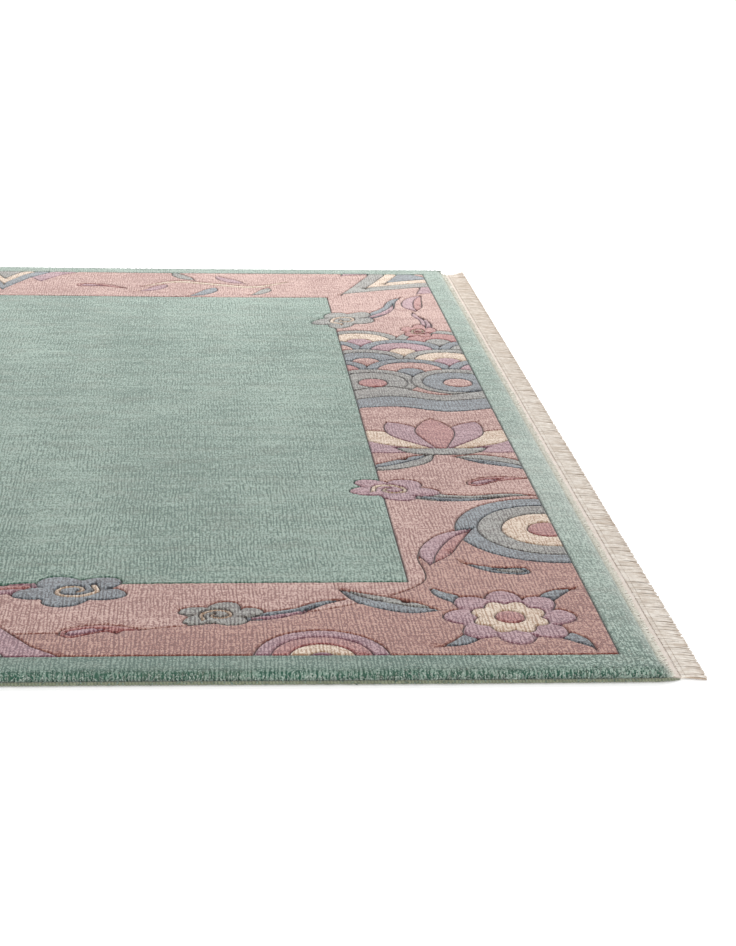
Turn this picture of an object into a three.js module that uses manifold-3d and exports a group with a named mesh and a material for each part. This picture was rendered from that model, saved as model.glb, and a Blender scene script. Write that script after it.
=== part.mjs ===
// Tibetan rug: a hand-knotted wool pile with carved outlines, a flat-woven fringed edge at each end
// and an overcast cord along each side. It lies flat. Millimetres, +Z up, +X along the rug's length,
// origin on the floor under its middle.

import * as THREE from 'three';
import { mergeVertices } from 'three/addons/utils/BufferGeometryUtils.js';
import Module from 'manifold-3d';

const wasm = await Module();
wasm.setup();

// Driving dimensions
const PILE_LENGTH = 3000;
const RUG_WIDTH = 2000;
const THICKNESS = 13;
const TOUCH_GAP = 0.3;

// The frame lines of the border, counted from the rug's edge
const END_BAND = 43.5;
const SIDE_BAND = 50;
const BORDER = 210.5;

// Towards each end the pile slopes down to the flat-woven edge
const END_SLOPE = 10;
const END_DROP = 8.5;

// Carved grooves
const GROOVE_WIDTH = 5.2;
const GROOVE_DEPTH = 4.2;

// Overcast cord along each side; it runs on beside the flat-woven edge and thins out there
const CORD_WIDTH = 5.5;
const CORD_HEIGHT = 4.5;
const CORD_RUNS_ON = 13.7;
const CORD_TIP_SHARE = 0.37;

// Flat-woven edge and its fringe at each end
const WEB_LENGTH = 16;
const WEB_THICKNESS = 3;
const WEB_HALF_WIDTH = 991.2;
const STRANDS_PER_END = 150;
const STRAND_LENGTH = 31;
const STRAND_VARIES = 3;
const STRAND_ROOT = { width: 7, height: 2.6 };
const STRAND_TIP = { width: 5, height: 1.8 };

// How the strands lie: a little longer towards the far side, leaning to the near side, and splayed
// outwards at the far corner
const STRAND_GROWS = 3 / 1000;
const STRAND_LEAN = { mean: -4, varies: 2.5 };
const CORNER_SPLAY = { size: 40, run: 80 };

// How the rug lies: its corners draw in, and its sides wander a few millimetres
const CORNER_DRAW_IN = 6.5;
const CORNER_RUN = 26;
const WANDER = { size: 4.5, wave: 1700, crestAt: 650, reach: 400 };

const HALF_LENGTH = PILE_LENGTH / 2;
const HALF_WIDTH = RUG_WIDTH / 2;
const BAND_X = HALF_LENGTH - END_BAND;
const BAND_Y = HALF_WIDTH - SIDE_BAND;
const FIELD_X = BAND_X - BORDER;
const FIELD_Y = BAND_Y - BORDER;
const CORD_END = HALF_LENGTH + CORD_RUNS_ON;

const WOOL = new THREE.MeshStandardMaterial({ color: '#98a69d', roughness: 0.95, metalness: 0 });
const COTTON = new THREE.MeshStandardMaterial({ color: '#cbc6b4', roughness: 0.9, metalness: 0 });
const CORD = new THREE.MeshStandardMaterial({ color: '#868e80', roughness: 0.9, metalness: 0 });

// Plane shapes

const turned = (points) => points.map(([x, y]) => [-x, -y]);

const circle = (count) => lobed({ lobes: 0, depth: 0, wide: 1, deep: 1, count });

// A round outline with lobes, like a flower or a cloud's head.
function lobed({ lobes, depth, wide, deep, count }) {
  return Array.from({ length: count }, (_, index) => {
    const angle = (index / count) * 2 * Math.PI;
    const reach = 1 - depth * (1 - Math.abs(Math.cos((lobes * angle) / 2)));
    return [wide * reach * Math.cos(angle), deep * reach * Math.sin(angle)];
  });
}

// A closed outline around a curve through the rows of way: x, y and the width there. Where it is
// narrower than a point the two sides meet.
const POINT = 0.002;

function ribbon(way, steps) {
  const curve = new THREE.CatmullRomCurve3(
    way.map(({ x, y, width }) => new THREE.Vector3(x, y, width)), false, 'catmullrom', 0.5);
  const left = [];
  const right = [];
  for (let step = 0; step <= steps; step += 1) {
    const { x, y, z: width } = curve.getPoint(step / steps);
    const along = curve.getTangent(step / steps);
    const length = Math.hypot(along.x, along.y);
    const reach = Math.max(width, 0) / 2;
    const side = [(-along.y / length) * reach, (along.x / length) * reach];
    left.push([x + side[0], y + side[1]]);
    if (reach > POINT / 2) right.unshift([x - side[0], y - side[1]]);
  }
  return [...left, ...right].reverse();
}

function place(outline, { x, y, size, turn = 0 }) {
  const angle = THREE.MathUtils.degToRad(turn);
  const across = size * Math.cos(angle);
  const up = size * Math.sin(angle);
  return outline.map(([u, v]) => [x + u * across - v * up, y + u * up + v * across]);
}

// Motifs, each a list of outlines from the lowest to the topmost, about 2 units across

const CLOUD_TAIL = [
  { x: 0.1, y: -0.12, width: 0.3 },
  { x: 0.7, y: -0.22, width: 0.34 },
  { x: 1.3, y: -0.12, width: 0.24 },
  { x: 1.85, y: 0.16, width: 0.16 },
  { x: 2.3, y: 0.24, width: 0 },
];
const PETAL = [
  { x: 0.05, y: 0, width: 0.1 },
  { x: 0.62, y: 0, width: 0.42 },
  { x: 0.95, y: 0, width: 0.26 },
  { x: 1.12, y: 0, width: 0 },
];
const CUP = [
  { x: -0.5, y: 0.1, width: 0 },
  { x: -0.25, y: -0.04, width: 0.2 },
  { x: 0.25, y: -0.04, width: 0.2 },
  { x: 0.5, y: 0.1, width: 0 },
];
const STEM = [
  { x: -1.7, y: -0.35, width: 0.05 },
  { x: -0.9, y: 0.22, width: 0.16 },
  { x: 0, y: 0, width: 0.17 },
  { x: 0.9, y: -0.22, width: 0.16 },
  { x: 1.7, y: 0.35, width: 0.03 },
];
const LEAF = [
  { x: -0.8, y: -0.08, width: 0 },
  { x: -0.35, y: 0.03, width: 0.44 },
  { x: 0.3, y: 0.06, width: 0.38 },
  { x: 0.85, y: -0.1, width: 0 },
];
const FLAME = [
  { x: -0.62, y: -0.05, width: 0 },
  { x: -0.45, y: -0.02, width: 0.4 },
  { x: 0.2, y: 0.07, width: 0.3 },
  { x: 0.95, y: -0.18, width: 0 },
];
const SPRAY_LEAVES = [
  { x: -1.35, y: 0.18, turn: 62, size: 0.56 },
  { x: -0.75, y: 0, turn: -48, size: 0.65 },
  { x: -0.15, y: 0.2, turn: 58, size: 0.68 },
  { x: 0.45, y: -0.28, turn: -58, size: 0.63 },
  { x: 1, y: 0, turn: 52, size: 0.59 },
];
const PEAKS = [
  { x: -0.62, half: 0.62, height: 0.8 },
  { x: 0.66, half: 0.6, height: 0.7 },
  { x: 0, half: 0.78, height: 1.45 },
  { x: 0.02, half: 0.5, height: 0.98 },
];
const PEAK_SIDE = [[1, 0], [0.55, 0.32], [0.2, 0.74], [0, 1], [-0.2, 0.74], [-0.55, 0.32], [-1, 0]];
const LOTUS_TURNS = [80, -80, 52, -52, 26, -26, 0];
const SUN_DISCS = [
  { size: 1, count: 20 },
  { size: 0.76, count: 20 },
  { size: 0.5, count: 12 },
  { size: 0.22, count: 12 },
];
const CLOUD_HEAD = { lobes: 5, depth: 0.36, wide: 0.78, deep: 0.55, count: 20 };
const ROSETTE_PETALS = { lobes: 8, depth: 0.25, wide: 0.88, deep: 0.88, count: 32 };
const ROSETTE_HEART = { size: 0.5, count: 10 };
const ROSETTE_LEAVES = { turns: [45, 135, 225, 315], reach: 0.95, size: 0.5 };

// How many stretches each ribbon's curve is drawn with
const STEPS = { tail: 4, petal: 3, cup: 3, leaf: 3, flame: 4, stem: 7 };

const disc = ({ size, count }) => place(circle(count), { x: 0, y: 0, size });

function pointAt(turn, reach) {
  const angle = THREE.MathUtils.degToRad(turn);
  return [reach * Math.cos(angle), reach * Math.sin(angle)];
}

const motifs = {
  cloud: () => [ribbon(CLOUD_TAIL, STEPS.tail), lobed(CLOUD_HEAD)],
  lotus: () => [
    ...LOTUS_TURNS.map((turn) => (
      place(ribbon(PETAL, STEPS.petal), { x: 0, y: 0, size: 1, turn: 90 + turn })
    )),
    ribbon(CUP, STEPS.cup),
  ],
  rosette: () => [
    ...ROSETTE_LEAVES.turns.map((turn) => {
      const [x, y] = pointAt(turn, ROSETTE_LEAVES.reach);
      return place(ribbon(LEAF, STEPS.leaf), { x, y, size: ROSETTE_LEAVES.size, turn });
    }),
    lobed(ROSETTE_PETALS),
    disc(ROSETTE_HEART),
  ],
  spray: () => [
    ...SPRAY_LEAVES.map(({ x, y, turn, size }) => {
      const [alongX, alongY] = pointAt(turn, size);
      return place(ribbon(LEAF, STEPS.leaf), { x: x + alongX, y: y + alongY, size, turn });
    }),
    ribbon(STEM, STEPS.stem),
  ],
  peaks: () => PEAKS.map(({ x, half, height }) => (
    PEAK_SIDE.map(([out, up]) => [x + out * half, up * height])
  )),
  sun: () => SUN_DISCS.map(disc),
  leaf: () => [ribbon(LEAF, STEPS.leaf)],
  flame: () => [ribbon(FLAME, STEPS.flame)],
};

// Motifs of the right end and the near side; the other half of the rug is this turned round.
const BORDER_MOTIFS = [
  { motif: 'peaks', x: BAND_X - 12, y: BAND_Y - 12, size: 165, turn: 135 },
  { motif: 'leaf', x: BAND_X - 45, y: 695, size: 85, turn: 80 },
  { motif: 'cloud', x: BAND_X - 62, y: 478, size: 62, turn: 82 },
  { motif: 'leaf', x: FIELD_X + 35, y: -285, size: 85, turn: -150 },
  { motif: 'leaf', x: FIELD_X + 180, y: -285, size: 85, turn: -30 },
  { motif: 'lotus', x: FIELD_X + 105, y: -225, size: 140, turn: 0 },
  { motif: 'flame', x: FIELD_X + 155, y: -365, size: 60, turn: 20 },
  { motif: 'sun', x: BAND_X - 10, y: -560, size: 120, turn: 0 },
  { motif: 'leaf', x: FIELD_X + 60, y: -615, size: 90, turn: 62 },
  { motif: 'flame', x: FIELD_X + 120, y: -700, size: 55, turn: 165 },
  { motif: 'rosette', x: BAND_X - 105, y: -BAND_Y + 105, size: 88, turn: 0 },
  { motif: 'leaf', x: 1215, y: -800, size: 80, turn: 150 },
  { motif: 'sun', x: 1130, y: -BAND_Y - 8, size: 75, turn: 0 },
  { motif: 'cloud', x: 1020, y: -835, size: 66, turn: 10 },
  { motif: 'flame', x: 880, y: -880, size: 62, turn: 12 },
  { motif: 'peaks', x: 700, y: -BAND_Y, size: 118, turn: 0 },
  { motif: 'leaf', x: 190, y: -865, size: 85, turn: 12 },
  { motif: 'rosette', x: 50, y: -BAND_Y + 105, size: 75, turn: 0 },
  { motif: 'leaf', x: -90, y: -850, size: 85, turn: 168 },
  { motif: 'peaks', x: -620, y: -BAND_Y, size: 110, turn: 0 },
  { motif: 'flame', x: -800, y: -830, size: 65, turn: 170 },
  { motif: 'spray', x: -1030, y: -BAND_Y + 100, size: 85, turn: -2 },
];

// Motifs that reach out of the border over the field.
const CROSSING_MOTIFS = [
  { motif: 'cloud', x: FIELD_X + 20, y: 560, size: 95, turn: 50 },
  { motif: 'cloud', x: FIELD_X + 15, y: -400, size: 84, turn: -14 },
  { motif: 'cloud', x: 850, y: -FIELD_Y - 20, size: 90, turn: 190 },
  { motif: 'cloud', x: -320, y: -FIELD_Y - 25, size: 100, turn: 188 },
];

// Rows of overlapping scales that stand for the sea.
const SCALES = { rows: 5, top: 405, step: 66, radius: 76, count: 12, pitch: 140, first: 35, shift: -70 };

function scales() {
  const outlines = [];
  for (let row = 0; row < SCALES.rows; row += 1) {
    const shifted = row % 2 === 1;
    const start = FIELD_X + SCALES.first + (shifted ? SCALES.shift : 0);
    const y = SCALES.top - row * SCALES.step;
    for (let x = start; x < BAND_X + SCALES.radius / 2; x += SCALES.pitch) {
      outlines.push(place(circle(SCALES.count), { x, y, size: SCALES.radius }));
    }
  }
  return outlines;
}

// The shore below the sea: two waved strips that run on under both frame lines.
const SHORE = [
  { left: 75, crest: 110, dip: 62, right: 100 },
  { left: 28, crest: 55, dip: 30, right: 50 },
];
const SHORE_FOOT = { left: -15, crest: -2, dip: -30, right: -4 };
const SHORE_X = { left: FIELD_X - 20, crest: FIELD_X + 60, dip: FIELD_X + 140, right: BAND_X + 20 };
const SHORE_STEPS = 6;

function shoreLine(level) {
  const curve = new THREE.SplineCurve(
    Object.keys(SHORE_X).map((spot) => new THREE.Vector2(SHORE_X[spot], level[spot])));
  return curve.getPoints(SHORE_STEPS).map(({ x, y }) => [x, y]);
}

function shore() {
  const foot = shoreLine(SHORE_FOOT);
  return SHORE.map((level) => [...foot, ...shoreLine(level).reverse()]);
}

// The edge of the deeper ground towards the near corner, which it fills as far as the frame lines.
const GROUND_EDGE = [
  [620, -950], [700, -900], [950, -875], [1150, -820], [1262, -742],
  [1270, -640], [1340, -575], [1410, -600], [1470, -540],
];
const GROUND_STEPS = 14;
const GROUND_CORNER = { x: BAND_X + 20, y: -BAND_Y - 10 };

function deepGround() {
  const curve = new THREE.SplineCurve(GROUND_EDGE.map(([x, y]) => new THREE.Vector2(x, y)));
  const edge = curve.getPoints(GROUND_STEPS).map(({ x, y }) => [x, y]);
  const { x, y } = GROUND_CORNER;
  return [[edge[0][0], y], [x, y], ...edge.reverse()];
}

const outlinesOf = (rows) => rows.flatMap((row) => (
  motifs[row.motif]().map((outline) => place(outline, row))
));

const bothHalves = (outlines) => [...outlines, ...outlines.map(turned)];

const rectangle = (x, y) => [[-x, -y], [x, -y], [x, y], [-x, y]];

// Solids

const mix = (from, to, share) => from + (to - from) * share;

// Moves a point to where the lying rug has it: the sides wander, alike when the rug is turned round.
function lie(x, y) {
  const side = y < 0 ? 1 : -1;
  const edgeward = (Math.abs(y) - (HALF_WIDTH - WANDER.reach)) / WANDER.reach;
  const share = THREE.MathUtils.smoothstep(edgeward, 0, 1);
  const along = (side * x - WANDER.crestAt) / WANDER.wave;
  return y + side * share * WANDER.size * Math.cos(2 * Math.PI * along);
}

// Neighbouring points' normals, averaged, with the reach of a sharp corner held in.
const SHARPEST = 0.8;

function outwardAt(outline, index) {
  const count = outline.length;
  const before = outline[(index + count - 1) % count];
  const here = outline[index];
  const after = outline[(index + 1) % count];
  const edgeNormal = (a, b) => {
    const length = Math.hypot(b[0] - a[0], b[1] - a[1]);
    return [(b[1] - a[1]) / length, (a[0] - b[0]) / length];
  };
  const first = edgeNormal(before, here);
  const second = edgeNormal(here, after);
  const sum = [first[0] + second[0], first[1] + second[1]];
  const square = Math.max(sum[0] ** 2 + sum[1] ** 2, SHARPEST);
  return [(2 * sum[0]) / square, (2 * sum[1]) / square];
}

// Triangles that fill a ring seen from above.
function filled(ring) {
  return THREE.ShapeUtils.triangulateShape(ring.map(([x, y]) => new THREE.Vector2(x, y)), []);
}

// A solid whose skin is a stack of rings, each as many points as the outline, closed by two caps.
function stackedRings(rings, fill = filled) {
  const count = rings[0].length;
  const positions = rings.flat(2);
  const indices = [];
  for (let level = 0; level < rings.length - 1; level += 1) {
    for (let index = 0; index < count; index += 1) {
      const next = (index + 1) % count;
      const low = [level * count + index, level * count + next];
      const high = [low[0] + count, low[1] + count];
      indices.push(low[0], low[1], high[1], low[0], high[1], high[0]);
    }
  }
  const top = (rings.length - 1) * count;
  for (const [a, b, c] of fill(rings[0])) {
    indices.push(c, b, a);
  }
  for (const [a, b, c] of fill(rings.at(-1))) {
    indices.push(top + a, top + b, top + c);
  }
  return meshOf(positions, indices);
}

// A ring whose section is the same closed loop of (out, up) points all round the outline.
function sweptRing(outline, section) {
  const count = outline.length;
  const outward = outline.map((_, index) => outwardAt(outline, index));
  const positions = outline.flatMap(([x, y], index) => section.flatMap(([out, up]) => [
    x + outward[index][0] * out,
    y + outward[index][1] * out,
    up,
  ]));
  const indices = [];
  for (let index = 0; index < count; index += 1) {
    for (let corner = 0; corner < section.length; corner += 1) {
      const here = index * section.length;
      const next = ((index + 1) % count) * section.length;
      const other = (corner + 1) % section.length;
      indices.push(here + corner, next + corner, next + other);
      indices.push(here + corner, next + other, here + other);
    }
  }
  return meshOf(positions, indices);
}

function meshOf(positions, indices) {
  const geometry = new THREE.BufferGeometry();
  geometry.setAttribute('position', new THREE.Float32BufferAttribute(positions, 3));
  geometry.setIndex(indices);
  return geometry;
}

function solidFrom(geometry) {
  const bare = geometry.clone();
  bare.deleteAttribute('normal');
  bare.deleteAttribute('uv');
  const merged = mergeVertices(bare);
  return new wasm.Manifold(new wasm.Mesh({
    numProp: 3,
    vertProperties: merged.attributes.position.array,
    triVerts: new Uint32Array(merged.index.array),
  }));
}

function geometryFrom(solid) {
  const mesh = solid.getMesh();
  return meshOf(Array.from(mesh.vertProperties), Array.from(mesh.triVerts));
}

// A groove is cut by a wedge that stands out of the pile by the clearance.
const CLEARANCE = 1;
const WEDGE_HALF = (GROOVE_WIDTH / 2) * (1 + CLEARANCE / GROOVE_DEPTH);
const WEDGE = [
  [0, THICKNESS - GROOVE_DEPTH],
  [WEDGE_HALF, THICKNESS + CLEARANCE],
  [-WEDGE_HALF, THICKNESS + CLEARANCE],
];

const groove = (outline) => solidFrom(sweptRing(outline, WEDGE));

function prism(outline) {
  const low = THICKNESS - GROOVE_DEPTH - CLEARANCE;
  const high = THICKNESS + 2 * CLEARANCE;
  return solidFrom(stackedRings([low, high].map((z) => outline.map(([x, y]) => [x, y, z]))));
}

// Each outline hides the grooves below it and is carved round itself.
function carve(grooves, outlines) {
  let carved = grooves;
  for (const outline of outlines) {
    const ring = groove(outline);
    carved = carved ? carved.subtract(prism(outline)).add(ring) : ring;
  }
  return carved;
}

function allGrooves() {
  const inBorder = [deepGround(), ...scales(), ...shore(), ...outlinesOf(BORDER_MOTIFS)];
  const band = rectangle(BAND_X, BAND_Y);
  const field = rectangle(FIELD_X, FIELD_Y);
  const border = prism(band).subtract(prism(field));
  const frame = groove(band).add(groove(field));
  const carved = carve(null, bothHalves(inBorder)).intersect(border).add(frame);
  return carve(carved, bothHalves(outlinesOf(CROSSING_MOTIFS)));
}

// How far a corner pulls the side in at x.
const drawnIn = (x) => CORNER_DRAW_IN * Math.max(0, 1 - (CORD_END - Math.abs(x)) / CORNER_RUN) ** 2;

// The near side from left to right, as far as reach.
const SIDE_STEPS = 26;
const CORNER_STEPS = 4;

function sideLine(offset, reach) {
  const straight = CORD_END - CORNER_RUN;
  const corner = Array.from({ length: CORNER_STEPS }, (_, index) => (
    mix(straight, reach, (index + 1) / CORNER_STEPS)
  ));
  const middle = Array.from({ length: SIDE_STEPS + 1 }, (_, index) => (
    mix(-straight, straight, index / SIDE_STEPS)
  ));
  const steps = [...corner.map((x) => -x).reverse(), ...middle, ...corner];
  return steps.map((x) => [x, -HALF_WIDTH + offset + drawnIn(x)]);
}

// The pile's outline, near side first, then the right end; the other half is this turned round.
const END_STEPS = 6;

function pileOutline() {
  const side = sideLine(CORD_WIDTH + TOUCH_GAP, HALF_LENGTH);
  const [x, y] = side.at(-1);
  const end = Array.from({ length: END_STEPS - 1 }, (_, index) => [x, mix(y, -y, (index + 1) / END_STEPS)]);
  const half = [...side, ...end];
  return [...half, ...turned(half)];
}

// Rings of the pile's skin from the floor up
const RIM = [
  { inset: 0.8, z: 0 },
  { inset: 0, z: 2 },
  { inset: 0, z: THICKNESS - 5 },
  { inset: 1.5, z: THICKNESS - 1.5 },
  { inset: 5, z: THICKNESS },
  { inset: 12, z: THICKNESS },
];

// The pile's height at x.
function pileHeight(x) {
  const endward = Math.max(0, 1 - (HALF_LENGTH - Math.abs(x)) / END_SLOPE);
  return THICKNESS - END_DROP * endward ** 2;
}

function pileSlab() {
  const outline = pileOutline();
  const rings = RIM.map(({ inset, z }) => outline.map(([outerX, outerY]) => {
    const x = outerX * (1 - inset / HALF_LENGTH);
    const y = outerY * (1 - inset / HALF_WIDTH);
    return [x, y, Math.min(z, pileHeight(x))];
  }));
  return geometryFrom(solidFrom(stackedRings(rings)).subtract(allGrooves()));
}

// The overcast cord: a rounded section, its outer edge at 0, carried along the near side.
const CORD_ROUNDING = { above: 1.6, below: 0.8 };
const CORD_SECTION = [
  [CORD_ROUNDING.below, 0],
  [CORD_WIDTH, 0],
  [CORD_WIDTH, CORD_HEIGHT - CORD_ROUNDING.above],
  [CORD_WIDTH - CORD_ROUNDING.above, CORD_HEIGHT],
  [CORD_ROUNDING.above, CORD_HEIGHT],
  [0, CORD_HEIGHT - CORD_ROUNDING.above],
  [0, CORD_ROUNDING.below],
];

function sideCord() {
  const line = sideLine(0, CORD_END);
  const corners = CORD_SECTION.length;
  const positions = line.flatMap(([x, y]) => {
    const fullness = Math.min(1, mix(CORD_TIP_SHARE, 1, (CORD_END - Math.abs(x)) / CORD_RUNS_ON));
    return CORD_SECTION.flatMap(([inward, z]) => [x, y + inward * fullness, z * fullness]);
  });
  const indices = [];
  for (let step = 0; step < line.length - 1; step += 1) {
    for (let corner = 0; corner < corners; corner += 1) {
      const other = (corner + 1) % corners;
      const here = step * corners;
      const next = here + corners;
      indices.push(here + corner, next + other, next + corner);
      indices.push(here + corner, here + other, next + other);
    }
  }
  const last = (line.length - 1) * corners;
  for (let corner = 1; corner < corners - 1; corner += 1) {
    indices.push(0, corner + 1, corner);
    indices.push(last, last + corner, last + corner + 1);
  }
  return meshOf(positions, indices);
}

// A repeatable share from 0 to 1 for each number, so that strands differ.
function share(number) {
  const value = Math.sin(number * 12.9898) * 43758.5453;
  return value - Math.floor(value);
}

// The corners of one strand seen from above, from the web's edge out to the tip and back.
function strand(index, rootX, y) {
  const reach = STRAND_LENGTH + STRAND_GROWS * y + STRAND_VARIES * (share(index) - 0.5);
  const cornerward = Math.max(0, 1 - (WEB_HALF_WIDTH - y) / CORNER_SPLAY.run);
  const lean = STRAND_LEAN.mean + STRAND_LEAN.varies * (share(index + 0.3) - 0.5);
  const tipY = y + lean + CORNER_SPLAY.size * cornerward ** 2;
  return [
    [rootX, y - STRAND_ROOT.width / 2, STRAND_ROOT.height],
    [rootX + reach, tipY - STRAND_TIP.width / 2, STRAND_TIP.height],
    [rootX + reach, tipY + STRAND_TIP.width / 2, STRAND_TIP.height],
    [rootX, y + STRAND_ROOT.width / 2, STRAND_ROOT.height],
  ];
}

const WEB_STEPS = 30;

// Triangles that fill the flat-woven edge and its strands seen from above: two for each strand, and a
// strip between the strands' roots and the inner edge that takes the points of both in turn.
function webAndStrands(ring) {
  const strandRoots = Array.from({ length: STRANDS_PER_END }, (_, index) => 1 + 4 * index);
  const triangles = strandRoots.flatMap((root) => [[root, root + 1, root + 2], [root, root + 2, root + 3]]);
  const outer = [0, ...strandRoots.flatMap((root) => [root, root + 3]), 1 + 4 * STRANDS_PER_END];
  const inner = Array.from({ length: WEB_STEPS + 1 }, (_, step) => ring.length - 1 - step);
  const yOf = (number) => (number === undefined ? Infinity : ring[number][1]);
  let [out, into] = [0, 0];
  while (out + 1 < outer.length || into + 1 < inner.length) {
    if (yOf(outer[out + 1]) <= yOf(inner[into + 1])) {
      triangles.push([outer[out], outer[out + 1], inner[into]]);
      out += 1;
    } else {
      triangles.push([outer[out], inner[into + 1], inner[into]]);
      into += 1;
    }
  }
  return triangles;
}

function fringedEnd() {
  const low = HALF_LENGTH + TOUCH_GAP;
  const high = low + WEB_LENGTH;
  const strandPitch = (2 * WEB_HALF_WIDTH) / STRANDS_PER_END;
  const strands = Array.from({ length: STRANDS_PER_END }, (_, index) => (
    strand(index, high, -WEB_HALF_WIDTH + (index + 0.5) * strandPitch)
  ));
  const inner = Array.from({ length: WEB_STEPS + 1 }, (_, step) => (
    [low, mix(WEB_HALF_WIDTH, -WEB_HALF_WIDTH, step / WEB_STEPS), WEB_THICKNESS]
  ));
  const top = [
    [high, -WEB_HALF_WIDTH, WEB_THICKNESS],
    ...strands.flat(),
    [high, WEB_HALF_WIDTH, WEB_THICKNESS],
    ...inner,
  ];
  return stackedRings([top.map(([x, y]) => [x, y, 0]), top], webAndStrands);
}

// The rug, put together

function lying(geometry) {
  const position = geometry.attributes.position;
  for (let index = 0; index < position.count; index += 1) {
    position.setY(index, lie(position.getX(index), position.getY(index)));
  }
  geometry.computeVertexNormals();
  return geometry;
}

function node(name, geometry, material, turnedRound = false) {
  const mesh = new THREE.Mesh(geometry, material);
  mesh.name = name;
  mesh.rotation.z = turnedRound ? Math.PI : 0;
  return mesh;
}

const rug = new THREE.Group();
const fringe = lying(fringedEnd());
const cord = lying(sideCord());
rug.add(
  node('knotted_rug', lying(pileSlab()), WOOL),
  node('fringe_end_right', fringe, COTTON),
  node('fringe_end_left', fringe, COTTON, true),
  node('side_binding_near', cord, CORD),
  node('side_binding_far', cord, CORD, true),
);

export default rug;
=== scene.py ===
"""Tibetan rug: hand-knotted wool pile with carved outlines, overcast sides and fringed ends."""

import math

import bpy
import numpy as np
from mathutils import Matrix, Vector, geometry, kdtree


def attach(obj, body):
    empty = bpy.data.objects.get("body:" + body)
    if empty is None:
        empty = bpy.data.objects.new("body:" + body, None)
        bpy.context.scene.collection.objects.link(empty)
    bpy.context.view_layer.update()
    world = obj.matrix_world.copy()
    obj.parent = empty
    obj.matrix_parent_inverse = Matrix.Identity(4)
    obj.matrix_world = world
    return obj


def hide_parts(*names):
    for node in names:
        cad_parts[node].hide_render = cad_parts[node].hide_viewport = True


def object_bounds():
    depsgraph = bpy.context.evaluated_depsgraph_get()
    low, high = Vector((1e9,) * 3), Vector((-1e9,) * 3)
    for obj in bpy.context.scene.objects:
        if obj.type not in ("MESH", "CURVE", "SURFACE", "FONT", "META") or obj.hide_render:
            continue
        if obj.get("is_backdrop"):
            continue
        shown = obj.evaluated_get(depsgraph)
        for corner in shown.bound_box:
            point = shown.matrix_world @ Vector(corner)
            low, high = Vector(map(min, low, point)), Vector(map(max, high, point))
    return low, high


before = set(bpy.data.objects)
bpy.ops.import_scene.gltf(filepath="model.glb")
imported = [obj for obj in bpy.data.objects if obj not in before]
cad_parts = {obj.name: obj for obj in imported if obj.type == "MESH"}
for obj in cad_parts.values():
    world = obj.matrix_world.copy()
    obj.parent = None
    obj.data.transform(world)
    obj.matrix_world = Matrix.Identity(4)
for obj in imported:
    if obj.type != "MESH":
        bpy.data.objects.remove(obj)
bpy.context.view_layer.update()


# Camera
# It stands in front of the near side, a little to the left of the fringed end, and looks down
# along the rug at the angle from which the rug was photographed.

CAMERA_AT = Vector((0.996, -2.810, 0.844))
LENS_MM = 71.45
LOOKS_DOWN = math.radians(18.46)
LOOKS_RIGHT = math.radians(5.46)
ROLL = math.radians(1.62)

ahead = Vector((
    math.sin(LOOKS_RIGHT) * math.cos(LOOKS_DOWN),
    math.cos(LOOKS_RIGHT) * math.cos(LOOKS_DOWN),
    -math.sin(LOOKS_DOWN),
))
level = Vector((math.cos(LOOKS_RIGHT), -math.sin(LOOKS_RIGHT), 0))
upright = level.cross(ahead)
camera_right = level * math.cos(ROLL) + upright * math.sin(ROLL)
camera_up = upright * math.cos(ROLL) - level * math.sin(ROLL)

camera_data = bpy.data.cameras.new("camera")
camera_data.lens = LENS_MM
camera = bpy.data.objects.new("camera", camera_data)
camera.matrix_world = (
    Matrix.Translation(CAMERA_AT)
    @ Matrix((camera_right, camera_up, -ahead)).transposed().to_4x4()
)
bpy.context.collection.objects.link(camera)
bpy.context.scene.camera = camera


# The drawn border
# A knotter works from a drawing that gives each outline its place and its yarn. The drawing holds a
# plain outer band and field, a border between two frame lines, and motifs of one half of the rug;
# the other half is the same drawing turned round.

HALF_LENGTH = 1.5
HALF_WIDTH = 1.0
BAND_X = HALF_LENGTH - 0.0435
BAND_Y = HALF_WIDTH - 0.050
BORDER = 0.2105
FIELD_X = BAND_X - BORDER
FIELD_Y = BAND_Y - BORDER


def smooth_way(rows, steps, runs_on=True):
    """Points on a smooth curve through the rows, whose columns are x, y and any width."""
    rows = np.array(rows, float)
    before = 2 * rows[0] - rows[1] if runs_on else rows[0]
    after = 2 * rows[-1] - rows[-2] if runs_on else rows[-1]
    rows = np.vstack([before, rows, after])
    points = []
    for step in range(steps + 1):
        place_on_way = step / steps * (len(rows) - 3)
        first = min(int(place_on_way), len(rows) - 4)
        t = place_on_way - first
        a, b, c, d = rows[first:first + 4]
        points.append(0.5 * (
            2 * b + (c - a) * t + (2 * a - 5 * b + 4 * c - d) * t ** 2 + (3 * b - a - 3 * c + d) * t ** 3
        ))
    return np.array(points)


def ribbon(rows, steps):
    """A closed outline around a smooth way, with the width that the rows give."""
    way = smooth_way(rows, steps)
    along = np.gradient(way[:, :2], axis=0)
    along /= np.linalg.norm(along, axis=1)[:, None]
    across = np.stack([along[:, 1], -along[:, 0]], axis=1) * np.maximum(way[:, 2:3], 0) / 2
    right, left = way[:, :2] + across, (way[:, :2] - across)[::-1]
    outline = np.vstack([right, left])
    apart = np.linalg.norm(outline - np.roll(outline, 1, axis=0), axis=1) > 1e-4
    return outline[apart]


def lobed(lobes, depth, wide, deep, count, turn=0.0):
    """A round outline with lobes, like a flower or a cloud's head."""
    angle = np.arange(count) / count * 2 * math.pi
    reach = 1 - depth * (1 - np.abs(np.cos(lobes * (angle - turn) / 2)))
    return np.stack([wide * reach * np.cos(angle), deep * reach * np.sin(angle)], axis=1)


def disc(radius, count=24):
    return lobed(0, 0, radius, radius, count)


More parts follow.
